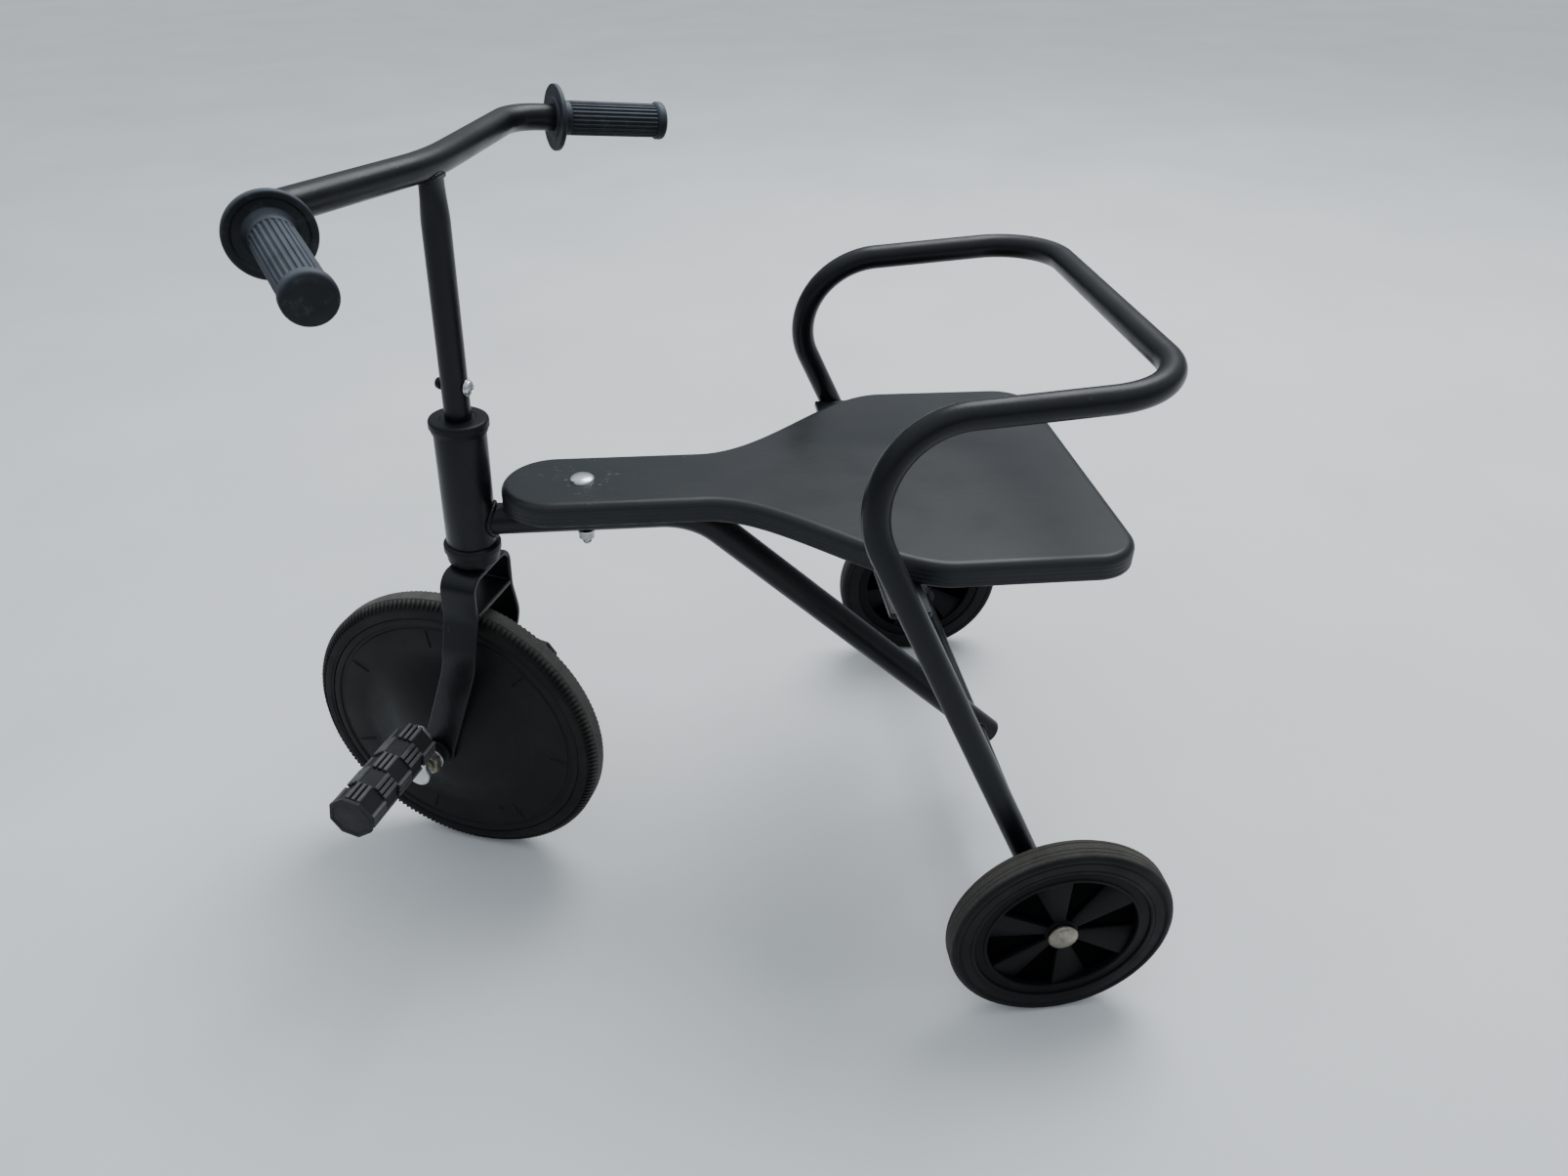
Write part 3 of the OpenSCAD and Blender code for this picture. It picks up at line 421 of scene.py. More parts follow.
def make_lug_tree():
    """Staggered rows of lugs on the flats of a pedal."""
    w = Wiring(new_tree("pedal_lugs", [("Rows", "Int", 5), ("Flats", "Int", 8),
                                       ("Row Length", "Float", 0.015), ("Wear", "Float", 0.0),
                                       ("Seed", "Int", 1)]))
    per_row = w.math("DIVIDE", w.inputs["Flats"], 2.0)
    spots = w.add("GeometryNodeMeshLine",
                  {"Count": w.math("MULTIPLY", w.inputs["Rows"], per_row),
                   "Offset": (0.0, 0.0, 0.0)}).outputs[0]
    index = w.add("GeometryNodeInputIndex").outputs[0]
    row = w.math("FLOOR", w.math("DIVIDE", w.math("ADD", index, 0.5), per_row))
    flat = w.math("ADD", w.math("MULTIPLY", index, 2.0), w.math("MODULO", row, 2.0))
    angle = w.math("MULTIPLY", flat, w.math("DIVIDE", 2 * math.pi, w.inputs["Flats"]))
    spots = w.add("GeometryNodeSetPosition",
                  {"Geometry": spots,
                   "Offset": w.vector(z=w.math("MULTIPLY", row, w.inputs["Row Length"]))}).outputs[0]
    worn = w.add("FunctionNodeRandomValue", {"Seed": w.inputs["Seed"]}).outputs["Value"]
    size = w.math("SUBTRACT", 1.0, w.math("MULTIPLY", worn, w.inputs["Wear"]))
    copies = w.add("GeometryNodeInstanceOnPoints",
                   {"Points": spots, "Instance": w.inputs["Geometry"],
                    "Rotation": w.vector(z=angle), "Scale": w.vector(size, size, 1.0)}).outputs[0]
    return w.close(copies)


tube_tree = make_tube_tree()
bead_tree = make_bead_tree()
turned_tree = make_turned_tree()
lug_tree = make_lug_tree()


def grow(tree, seed, values, finish, place=None):
    """Runs a tree on a seed mesh and returns the plain mesh that comes out."""
    pattern = bpy.data.objects.new("pattern", seed)
    bpy.context.scene.collection.objects.link(pattern)
    grower = pattern.modifiers.new("pattern", "NODES")
    grower.node_group = tree
    values = dict(values, Material=finish)
    for item in tree.interface.items_tree:
        if item.item_type == "SOCKET" and item.in_out == "INPUT" and item.name in values:
            grower[item.identifier] = values[item.name]
    graph = bpy.context.evaluated_depsgraph_get()
    mesh = bpy.data.meshes.new_from_object(pattern.evaluated_get(graph), depsgraph=graph)
    bpy.data.objects.remove(pattern)
    if place:
        put = place.copy()
        put.translation = place.translation * MM
        mesh.transform(put)
    return tidy_mesh(mesh)


def bend_route(corners, radii, step=3.0):
    """Points along straights and the round bends between them."""
    out = [corners[0]]
    for i in range(1, len(corners) - 1):
        p, radius = corners[i], radii[i - 1]
        into = (p - corners[i - 1]).normalized()
        away = (corners[i + 1] - p).normalized()
        angle = into.angle(away)
        start = p - into * radius * math.tan(angle / 2)
        side = (away - into * into.dot(away)).normalized()
        centre = start + side * radius
        count = max(2, round(math.degrees(angle) / step))
        for k in range(count + 1):
            a = angle * k / count
            out.append(centre - side * radius * math.cos(a) + into * radius * math.sin(a))
    return out + [corners[-1]]


def chain_mesh(name, route, closed=False):
    edges = [(i, i + 1) for i in range(len(route) - 1)]
    if closed:
        edges.append((len(route) - 1, 0))
    return plain_mesh(name, route, [], edges=edges)


def tube(name, route, diameter, finish, sides=48):
    return grow(tube_tree, chain_mesh(name, route), {"Diameter": diameter * MM, "Sides": sides}, finish)


def bead(name, route, width, finish, ripple=2.2, closed=True, seed=3.0):
    length = sum((b - a).length for a, b in zip(route, route[1:]))
    values = {"Width": width * MM, "Ripples": max(4, round(length / ripple)), "Closed": closed,
              "Seed": seed}
    return grow(bead_tree, chain_mesh(name, route), values, finish)


def saddle(place, radius, axis_at, axis_way, big_radius, steps=48):
    """The seam where a round tube, running down its own Z, meets a bigger round tube."""
    out = []
    for k in range(steps):
        a = 2 * math.pi * k / steps
        start = place @ Vector((radius * math.cos(a), radius * math.sin(a), 0))
        way = -(place.to_3x3() @ Vector((0, 0, 1)))
        d = start - axis_at
        d -= axis_way * d.dot(axis_way)
        v = way - axis_way * way.dot(axis_way)
        square, half, rest = v.dot(v), v.dot(d), d.dot(d) - big_radius ** 2
        root = max(half * half - square * rest, 0)
        out.append(start + way * ((-half - math.sqrt(root)) / square))
    return out


# ---- Finishes ----


class Finish:
    """A node material with a main shader and helpers for its patterns."""

    def __init__(self, name, **constants):
        self.material = bpy.data.materials.new(name)
        self.material.use_nodes = True
        self.tree = self.material.node_tree
        self.shader = self.tree.nodes["Principled BSDF"]
        for key, value in constants.items():
            self.shader.inputs[key.replace("_", " ")].default_value = value
        coords = self.tree.nodes.new("ShaderNodeTexCoord")
        self.place = coords.outputs["Object"]
        self.facing = coords.outputs["Normal"]

    def add(self, kind, links=None, **settings):
        return Wiring.add(self, kind, links, **settings)

    def math(self, operation, a, b=0.0, c=0.0):
        return self.add("ShaderNodeMath", {0: a, 1: b, 2: c}, operation=operation).outputs[0]

    def moved(self, place, stretch=(1, 1, 1)):
        """Coordinates in a piece's own frame, in metres."""
        turned = place.inverted().to_euler()
        at = place.inverted().translation * MM
        mapped = self.add("ShaderNodeMapping", {"Vector": self.place, "Location": tuple(at),
                                                "Rotation": tuple(turned)}).outputs[0]
        if tuple(stretch) == (1, 1, 1):
            return mapped
        return self.add("ShaderNodeVectorMath", {0: mapped, 1: stretch},
                        operation="MULTIPLY").outputs[0]

    def from_axis(self, place):
        """Distance from the Z axis of a piece's own frame, in metres."""
        flat = self.add("ShaderNodeVectorMath", {0: self.moved(place), 1: (1, 1, 0)},
                        operation="MULTIPLY").outputs[0]
        return self.add("ShaderNodeVectorMath", {0: flat}, operation="LENGTH").outputs["Value"]

    def noise(self, scale, detail=4.0, rough=0.55, vector=None, distortion=0.0):
        return self.add("ShaderNodeTexNoise",
                        {"Vector": vector or self.place, "Scale": scale, "Detail": detail,
                         "Roughness": rough, "Distortion": distortion}).outputs[0]

    def cells(self, scale, vector=None):
        return self.add("ShaderNodeTexVoronoi", {"Vector": vector or self.place, "Scale": scale},
                        feature="F1").outputs["Distance"]

    def band(self, value, low, high, out_low=0.0, out_high=1.0):
        return self.add("ShaderNodeMapRange", {"Value": value, "From Min": low, "From Max": high,
                                               "To Min": out_low, "To Max": out_high}).outputs[0]

    def mix(self, share, a, b):
        node = self.add("ShaderNodeMix", data_type="RGBA")
        for index, value in ((0, share), (6, a), (7, b)):
            if isinstance(value, bpy.types.NodeSocket):
                self.tree.links.new(value, node.inputs[index])
            else:
                node.inputs[index].default_value = value if index == 0 else (*value, 1.0)
        return node.outputs[2]

    def both(self, a, b):
        return self.math("MULTIPLY", a, b)

    def upward(self, low=0.2, high=0.95):
        """How far a face looks up."""
        up = self.add("ShaderNodeSeparateXYZ", {0: self.facing}).outputs[2]
        return self.band(up, low, high)

    def bump(self, height, strength, distance, normal=None):
        links = {"Height": height, "Strength": strength, "Distance": distance}
        if normal:
            links["Normal"] = normal
        return self.add("ShaderNodeBump", links).outputs[0]

    def done(self, colour, roughness, normal):
        for key, value in (("Base Color", colour), ("Roughness", roughness), ("Normal", normal)):
            self.tree.links.new(value, self.shader.inputs[key])
        return self.material


def powder_coat(name, base, dusty=0.3):
    """Satin black powder coat with a fine orange peel, thin scuffs and settled dust."""
    f = Finish(name, IOR=1.5, Specular_IOR_Level=0.25)
    cloud = f.noise(14.0, 5.0)
    fine = f.noise(900.0, 2.0)
    scuff = f.band(f.noise(160.0, 3.0, 0.7, f.moved(Matrix.Identity(4), (1, 1, 0.12))), 0.66, 0.74)
    rub = f.both(scuff, f.band(f.noise(22.0, 2.0), 0.5, 0.62))
    dust = f.both(f.both(f.upward(0.1, 0.9), f.band(cloud, 0.35, 0.75)), dusty)
    grain = f.both(f.band(fine, 0.55, 0.75), f.both(f.upward(-0.2, 0.8), 0.25))
    colour = f.mix(f.band(cloud, 0.3, 0.7), base, tuple(c * 1.35 for c in base))
    colour = f.mix(f.both(rub, 0.5), colour, (0.045, 0.048, 0.053))
    colour = f.mix(f.math("ADD", f.both(dust, 0.35), f.both(grain, 0.3)), colour, (0.085, 0.09, 0.096))
    rough = f.band(f.noise(45.0, 4.0), 0.3, 0.75, 0.28, 0.4)
    rough = f.math("ADD", rough, f.math("ADD", f.both(dust, 0.35), f.both(rub, 0.12)))
    peel = f.bump(f.noise(520.0, 2.0), 0.16, 0.00035)
    return f.done(colour, rough, f.bump(f.noise(60.0, 3.0), 0.06, 0.0015, peel))


def painted_board(name):
    """Black lacquer over plywood, with faint grain, scuffs by the bolt and specks of wear."""
    f = Finish(name, IOR=1.5, Specular_IOR_Level=0.34)
    place = f.moved(seat_frame)
    spread = f.add("ShaderNodeSeparateXYZ", {0: place})
    grain_space = f.moved(seat_frame, (0.09, 1.0, 1.0))
    grain = f.noise(260.0, 5.0, 0.6, grain_space, 0.4)
    cloud = f.noise(9.0, 5.0)
    away = f.add("ShaderNodeVectorMath", {0: place}, operation="LENGTH").outputs["Value"]
    near_bolt = f.band(away, 0.008, 0.045, 1.0, 0.0)
    streak = f.band(f.noise(420.0, 4.0, 0.75, f.moved(seat_frame, (0.35, 1, 1)), 0.6), 0.6, 0.68)
    scuffs = f.both(f.both(streak, near_bolt), f.band(f.noise(70.0), 0.42, 0.6))
    speck = f.both(f.band(f.cells(150.0), 0.07, 0.03), f.band(f.noise(17.0, 2.0), 0.58, 0.66))
    top = f.upward(0.6, 0.95)
    hair = f.both(f.band(f.noise(900.0, 2.0, 0.5, f.moved(seat_frame, (0.05, 1.2, 1))), 0.7, 0.76), top)
    depth = spread.outputs[2]
    layer = f.math("PINGPONG", f.math("ADD", depth, 0.0002), 0.0016)
    side = f.band(top, 0.0, 0.3, 1.0, 0.0)
    ply = f.both(f.band(layer, 0.0002, 0.0, 0.0, 1.0), side)
    # Lighter brownish band, broken by noise, along the bottom edge: partly worn paint, partly a painted highlight
    # along that edge
    edge_wear_and_highlight = f.both(f.band(depth, -0.0143, -0.0156), f.band(f.noise(90.0, 3.0), 0.45, 0.6))
    colour = f.mix(f.band(cloud, 0.3, 0.7), (0.0062, 0.0072, 0.0084), (0.0095, 0.011, 0.0125))
    colour = f.mix(f.both(f.band(grain, 0.5, 0.75), 0.25), colour, (0.02, 0.023, 0.026))
    colour = f.mix(f.both(ply, 0.5), colour, (0.035, 0.033, 0.03))
    colour = f.mix(f.both(scuffs, 0.8), colour, (0.2, 0.21, 0.22))
    colour = f.mix(f.both(speck, 0.75), colour, (0.3, 0.3, 0.29))
    colour = f.mix(f.both(hair, 0.2), colour, (0.06, 0.064, 0.068))
    colour = f.mix(f.both(edge_wear_and_highlight, 0.55), colour, (0.15, 0.12, 0.09))
    rough = f.band(f.noise(30.0, 5.0), 0.3, 0.75, 0.34, 0.47)
    rough = f.math("ADD", rough, f.math("ADD", f.both(scuffs, 0.25), f.both(side, 0.1)))
    height = f.math("ADD", f.both(grain, 0.35), f.both(ply, -0.8))
    peel = f.bump(f.noise(600.0, 2.0), 0.07, 0.0003)
    return f.done(colour, rough, f.bump(height, 0.12, 0.0006, peel))


def wheel_rubber(name, frame_at, tread_r, base, dust_colour, tread_from):
    """Black rubber, dusty and rubbed grey on the part that rolls."""
    f = Finish(name, IOR=1.45, Specular_IOR_Level=0.22)
    radius = f.from_axis(frame_at)
    tread = f.band(radius, tread_from * MM, (tread_r - 0.6) * MM)
    patch = f.noise(38.0, 6.0, 0.65)
    grit = f.noise(650.0, 3.0, 0.7)
    grimy = f.both(tread, f.band(patch, 0.25, 0.62, 0.45, 1.0))
    wall_dust = f.both(f.band(f.noise(24.0, 5.0, 0.6), 0.48, 0.75), 0.3)
    pits = f.band(f.cells(900.0), 0.12, 0.0)
    colour = f.mix(f.band(f.noise(12.0, 3.0), 0.3, 0.7), base, tuple(c * 1.4 for c in base))
    colour = f.mix(wall_dust, colour, tuple(c * 0.5 for c in dust_colour))
    colour = f.mix(grimy, colour, dust_colour)
    colour = f.mix(f.both(f.band(grit, 0.5, 0.72), f.both(tread, 0.55)), colour,
                   tuple(c * 1.5 for c in dust_colour))
    colour = f.mix(f.both(pits, f.both(tread, 0.7)), colour, base)
    rough = f.band(f.noise(50.0, 4.0), 0.3, 0.7, 0.52, 0.68)
    rough = f.math("ADD", rough, f.both(grimy, 0.25))
    coarse = f.bump(patch, 0.08, 0.001)
    return f.done(colour, rough, f.bump(f.math("SUBTRACT", grit, f.both(pits, f.both(tread, 0.6))),
                                        0.3, 0.00035, coarse))


def soft_rubber(name, base, dust_colour, dusty, wear, frame_at=None, worn_top_and_shade_r=None):
    """Moulded rubber of the grips and pedals, with dust on what faces up and rubbing where feet go; on the grips
    that dust also carries a painted sheen, and on the pedals the pockets between the lugs get painted shade.
    """
    f = Finish(name, IOR=1.45, Specular_IOR_Level=0.3)
    patch = f.noise(45.0, 5.0, 0.6)
    grit = f.noise(1100.0, 2.0)
    # Dust on faces that look up; on the grips its bluish colour is also a painted sheen of the sky
    dust_and_sheen = f.both(f.both(f.upward(0.0, 0.85), f.band(patch, 0.3, 0.7, 0.6, 1.0)), dusty)
    rubbed = f.both(f.band(f.noise(130.0, 4.0, 0.7), 0.55, 0.7), wear)
    # On the pedals: painted shade in the pockets between the lugs, where the dust is cut back so they come out
    # darker; the lugs' outer faces come out lighter with wear
    if worn_top_and_shade_r:
        worn_tops_and_painted_shade = f.band(f.from_axis(frame_at), (worn_top_and_shade_r - 1.4) * MM, (worn_top_and_shade_r - 0.2) * MM)
        dust_and_sheen = f.both(dust_and_sheen, f.band(worn_tops_and_painted_shade, 0.0, 1.0, 0.12, 1.0))
        rubbed = f.math("MAXIMUM", f.both(rubbed, worn_tops_and_painted_shade), f.both(worn_tops_and_painted_shade, f.band(patch, 0.3, 0.65, 0.15, 0.55)))
    colour = f.mix(f.band(patch, 0.3, 0.7), base, tuple(c * 1.5 for c in base))
    colour = f.mix(dust_and_sheen, colour, dust_colour)
    colour = f.mix(rubbed, colour, tuple(c * 1.2 for c in dust_colour))
    rough = f.band(f.noise(80.0, 3.0), 0.3, 0.7, 0.5, 0.66)
    return f.done(colour, rough, f.bump(grit, 0.22, 0.0003, f.bump(patch, 0.05, 0.001)))


def moulded_plastic(name, base, rough_low, rough_high, frame_at=None, dusty=0.3, shaded_web_y=None):
    """Black moulded plastic with a fine spark texture, turned scratches and a film of dust, and painted shade by a
    middle web if its place is given.
    """
    f = Finish(name, IOR=1.48, Specular_IOR_Level=0.2)
    cloud = f.noise(11.0, 5.0, 0.6)
    spark = f.noise(1500.0, 2.0)
    if frame_at:
        rings = f.add("ShaderNodeTexNoise", {"W": f.from_axis(frame_at), "Scale": 1400.0, "Detail": 3.0},
                      noise_dimensions="1D").outputs[0]
        scratch = f.both(f.band(rings, 0.62, 0.72), f.band(f.noise(28.0, 3.0), 0.5, 0.65))
    else:
        scratch = f.both(f.band(f.noise(240.0, 3.0, 0.7), 0.66, 0.74), 0.6)
    dust = f.both(f.band(f.noise(26.0, 6.0, 0.65), 0.42, 0.78), dusty)
    speck = f.both(f.band(f.cells(210.0), 0.06, 0.02), f.band(f.noise(31.0), 0.55, 0.65))
    colour = f.mix(f.band(cloud, 0.3, 0.7), base, tuple(c * 1.5 for c in base))
    colour = f.mix(f.both(scratch, 0.1), colour, (0.06, 0.062, 0.06))
    colour = f.mix(f.both(dust, 0.4), colour, (0.06, 0.058, 0.053))
    colour = f.mix(f.both(speck, 0.5), colour, (0.12, 0.115, 0.1))
    rough = f.band(f.noise(34.0, 5.0), 0.3, 0.75, rough_low, rough_high)
    rough = f.math("ADD", rough, f.both(dust, 0.3))
    if shaded_web_y:
        # Painted shade: near-black, matt and less reflective in the pockets either side of the middle web, where
        # shade falls
        out = f.math("ABSOLUTE", f.add("ShaderNodeSeparateXYZ", {0: f.place}).outputs[1])
        off = f.math("ABSOLUTE", f.math("SUBTRACT", out, shaded_web_y * MM))
        pocket_painted_shade = f.band(off, 0.0012, 0.0042, 1.0, 0.0)
        colour = f.mix(pocket_painted_shade, colour, (0.0012, 0.0013, 0.0016))
        rough = f.math("ADD", rough, f.both(pocket_painted_shade, 0.35))
        f.tree.links.new(f.band(pocket_painted_shade, 0.0, 1.0, 0.12, 0.03), f.shader.inputs["Specular IOR Level"])
    return f.done(colour, rough, f.bump(spark, 0.14, 0.00025, f.bump(cloud, 0.04, 0.002)))


def plated_steel(name, base, dull, tarnish, rough_low=0.2, rough_high=0.42):
    """Zinc plate, scuffed, with patches of tarnish."""
    f = Finish(name, Metallic=1.0)
    cloud = f.noise(95.0, 5.0, 0.65)
    stain = f.both(f.band(f.noise(210.0, 5.0, 0.7, distortion=0.5), 0.45, 0.7), tarnish)
    line = f.band(f.noise(700.0, 3.0, 0.8, f.moved(Matrix.Identity(4), (1.0, 0.1, 1.0))), 0.6, 0.72)
    colour = f.mix(f.band(cloud, 0.3, 0.7), base, dull)
    colour = f.mix(stain, colour, (0.2, 0.155, 0.105))
    rough = f.band(cloud, 0.3, 0.72, rough_low, rough_high)
    rough = f.math("ADD", rough, f.math("ADD", f.both(stain, 0.3), f.both(line, 0.08)))
    return f.done(colour, rough, f.bump(f.math("ADD", f.both(line, 0.4), cloud), 0.1, 0.0003))


paint = powder_coat("black_powder_coat", (0.0034, 0.0039, 0.0047), 0.26)
board_paint = painted_board("painted_plywood")
# The grips' bluish colour on faces that look up is partly dust, partly a painted sheen of the sky
grip_rubber = soft_rubber("grip_rubber", (0.0062, 0.0072, 0.0092), (0.115, 0.132, 0.155), 0.72, 0.14)
# Each pedal has its own material, so that painted shade can lie in the pockets between its lugs
pedal_rubber = {side: soft_rubber("pedal_rubber_" + side, (0.0075, 0.0075, 0.0073), (0.1, 0.1, 0.097),
                                  0.75, 0.5, pedal_frame(side), PEDAL_D / 2)
                for side in SIDES}
cap_rubber = soft_rubber("pedal_cap_rubber", (0.0095, 0.0095, 0.0092), (0.05, 0.05, 0.048), 0.4, 0.2)
bush_plastic = moulded_plastic("bush_plastic", (0.004, 0.0045, 0.0054), 0.36, 0.5, dusty=0.15)
disc_plastic = moulded_plastic("wheel_disc_plastic", (0.0036, 0.0039, 0.0037), 0.42, 0.56,
                               front_frame @ ALONG_AXLE, 0.22)
# The rear rims get painted shade in the pockets either side of their middle web
rim_plastic = moulded_plastic("rear_rim_plastic", (0.0026, 0.0028, 0.0032), 0.46, 0.58, dusty=0.05,
                             shaded_web_y=TRACK_W / 2 - REAR_TYRE_W / 2)
front_rubber = wheel_rubber("front_tyre_rubber", front_frame @ ALONG_AXLE, FRONT_R,
                            (0.0062, 0.0058, 0.0052), (0.08, 0.078, 0.071), FRONT_R - 3.6)
rear_rubber = wheel_rubber("rear_tyre_rubber", rear_frame("left"), REAR_R,
                           (0.0044, 0.0046, 0.0049), (0.06, 0.057, 0.049), REAR_R - 2.0)
zinc = plated_steel("bright_zinc", (0.72, 0.73, 0.74), (0.5, 0.51, 0.52), 0.25)
brown_zinc = plated_steel("dulled_zinc", (0.4, 0.37, 0.32), (0.22, 0.2, 0.165), 0.7, 0.3, 0.5)


# ---- Adding a finished piece ----


def add_piece(name, mesh, finish, body, slot, *nodes):
    mesh.materials.clear()
    mesh.materials.append(finish)
    piece = bpy.data.objects.new(name, mesh)
    mesh.name = name
    bpy.context.scene.collection.objects.link(piece)
    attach(piece, body)
    if nodes:
        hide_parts(*nodes)
    return piece


# ---- Frame: head tube, main tube, loop and axle ----


def build_head_tube():
    wall = 2.0
    profile = rounded([(HEAD_D / 2 - wall, 0), (HEAD_D / 2, 0, 0.6), (HEAD_D / 2, HEAD_L, 0.6),
                       (HEAD_D / 2 - wall, HEAD_L)])
    shell = lathe("head_tube_shell", profile, head_frame @ shift(0, 0, HEAD_S))
    add_piece("head_tube_shell", shell, paint, "main_frame", "paint", "head_tube")


def build_head_bushes():
    lip = HEAD_D / 2 + BUSH_LIP
    bore = BAR_D / 2 + RUN_GAP
    h = UPPER_BUSH_H
    upper = rounded([(bore, 0), (lip - 1.2, 0, 0.4), (lip - 1.0, 2.6, 0.5), (lip, 3.3, 0.6),
                     (lip, h, 2.2), (BAR_D / 2 + 3.2, h, 0.5), (BAR_D / 2 + 2.6, h - 0.5, 0.3),
                     (bore, h - 0.5)])
    add_piece("upper_bush_cap", lathe("upper_bush_cap", upper, head_frame @ shift(0, 0, UPPER_BUSH_S)),
              bush_plastic, "main_frame", "plastic", "upper_head_bush")
    bore = 6.5 + RUN_GAP
    low = HEAD_D / 2 + BUSH_LIP / 2
    lower = rounded([(bore, 0), (low - 2.2, 0, 0.8), (low - 0.7, 3.0, 1.5), (low, 8.6, 0.5),
                     (low + 0.1, 9.5, 0.3), (lip, 10.2, 0.6), (lip, 14.8, 1.1), (HEAD_D / 2 + 0.2, 15.9, 0.4),
                     (bore, 16.0)])
    add_piece("lower_bush_ring", lathe("lower_bush_ring", lower, head_frame @ shift(0, 0, LOWER_BUSH_S)),
              bush_plastic, "main_frame", "plastic", "lower_head_bush")


build_head_tube()
build_head_bushes()

# Route of the main tube: level under the seat's nose, then down to the axle
nose_line_z = -SEAT_T - MAIN_D / 2 - BEND_SKIN
main_run = 148.0
main_bend_r = 60.0
main_tail = 15.0
axis_slope = -steer_up.x / steer_up.z
axis_x = steer_at.x - (SEAT_H - steer_at.z) * axis_slope
tube_front = seat_frame @ Vector((axis_x - BOLT_X - HEAD_D / 2 + 3, 0, nose_line_z))
tube_corner = seat_frame @ Vector((axis_x - BOLT_X - main_run, 0, nose_line_z))
tube_fall = (rear_at - tube_corner).normalized()
tube_end = rear_at + tube_fall * main_tail


def build_main_tube():
    route = bend_route([tube_front, tube_corner, tube_end], [main_bend_r])
    add_piece("main_tube_bent", tube("main_tube_bent", route, MAIN_D, paint), paint,
              "main_frame", "paint", "main_tube")
    r = MAIN_D / 2
    cap = rounded([(0, -2), (r - 1.65, -2), (r - 1.65, 0.05), (r, 0.05, 0.5), (r, 1.6, 1.8),
                   (r - 3.5, 3.8, 3.0), (0, 4.0)], closed=False)
    add_piece("main_tube_end_cap", lathe("main_tube_end_cap", cap, facing(tube_end, tube_end + tube_fall),
                                         ring=False), bush_plastic, "main_frame", "plastic",
              "main_tube_plug")
    level = (tube_front - tube_corner).normalized()
    seam = saddle(facing(tube_front - level * 60, tube_front - level * 120), MAIN_D / 2 + 0.5,
                  steer_at, steer_up, HEAD_D / 2 + 0.4)
    beads = [bead("head_weld", seam, 3.4, paint, 2.6)]
    rod_seam = saddle(facing(rear_at + ACROSS * 60, rear_at + ACROSS * 80), REAR_AXLE_D / 2 + 0.5,
                      rear_at, tube_fall, MAIN_D / 2 + 0.2)
    beads.append(bead("axle_weld", rod_seam, 2.4, paint, 2.0, seed=5.0))
    mirrored = [Vector((p.x, -p.y, p.z)) for p in rod_seam]
    beads.append(bead("axle_weld", mirrored, 2.4, paint, 2.0, seed=8.0))
    add_piece("main_tube_welds", joined("main_tube_welds", beads), paint, "main_frame", "paint")


build_main_tube()

# Route of the loop: up one leg, forward into the arm, round the back and down the other side
tyre_in_y = TRACK_W / 2 - REAR_TYRE_W
rim_hub_in_y = tyre_in_y - 3.0
rim_hub_out_y = TRACK_W / 2 - 3.3
washer_t = 1.5
eye_l = 15.0
eye_d = 19.0
eye_out_y = rim_hub_in_y - washer_t - SIDE_GAP
leg_foot_y = eye_out_y - eye_l / 2
leg_foot = Vector((rear_at.x, leg_foot_y, REAR_R))
leg_top = Vector((rear_at.x + 144.0, ARM_Y, 405.0))
loop_corner = Vector((rear_at.x - 60.0, ARM_Y, 414.0))


def flipped(p):
    return Vector((p.x, -p.y, p.z))


def build_loop():
    corners = [leg_foot, leg_top, loop_corner, flipped(loop_corner), flipped(leg_top), flipped(leg_foot)]
    route = bend_route(corners, [55.0, 48.0, 48.0, 55.0])
    parts = [tube("loop", route, BAR_D, paint)]
    bore = REAR_AXLE_D / 2 + FIX_GAP
    eye = rounded([(bore, -eye_l / 2), (eye_d / 2, -eye_l / 2, 0.7), (eye_d / 2, eye_l / 2, 0.7),
                   (bore, eye_l / 2)])
    for side in (1, -1):
        foot = leg_foot if side > 0 else flipped(leg_foot)
        top = leg_top if side > 0 else flipped(leg_top)
        parts.append(lathe("eye", eye, shift(*foot) @ ALONG_AXLE, steps=64))
        up = (top - foot).normalized()
        seam = saddle(facing(foot + up * 40, foot + up * 90), BAR_D / 2 + 0.4, foot, ACROSS,
                      eye_d / 2 + 0.1)
        seam = [Vector((p.x, max(min(p.y, foot.y + eye_l / 2 - 0.6), foot.y - eye_l / 2 - 1.2), p.z))
                for p in seam]
        parts.append(bead("eye_weld", seam, 2.2, paint, 2.2, seed=4.0 + side))
    add_piece("seat_loop_tube", joined("seat_loop_tube", parts), paint, "main_frame", "paint",
              "seat_loop")


build_loop()


def build_rear_axle():
    half = TRACK_W / 2 - 1.6
    r = REAR_AXLE_D / 2
    rod = rounded([(0, -half), (r, -half, 0.8), (r, half, 0.8), (0, half)], closed=False)
    add_piece("rear_axle_rod", lathe("rear_axle_rod", rod, shift(*rear_at) @ ALONG_AXLE, 48, ring=False),
              paint, "main_frame", "paint", "rear_axle")


build_rear_axle()

# ---- Seat ----


def smooth_step(t):
    return t * t * (3 - 2 * t)


def seat_outline():
    nose = SEAT_NOSE_W / 2
    half = []
    for i in range(25):
        a = math.pi / 2 * i / 24
        half.append((BOLT_BACK - nose + nose * math.cos(a), nose * math.sin(a)))
    for i in range(41):
        half.append((BOLT_BACK - FLARE_START - FLARE_L * i / 40,
                     nose + (SEAT_REAR_W / 2 - nose) * smooth_step(i / 40)))
    for i in range(21):
        a = math.pi / 2 * i / 20
        half.append((BOLT_BACK - SEAT_L + SEAT_CORNER_R * (1 - math.sin(a)),
                     SEAT_REAR_W / 2 - SEAT_CORNER_R * (1 - math.cos(a))))
    return half + [(x, -y) for x, y in reversed(half[1:])]


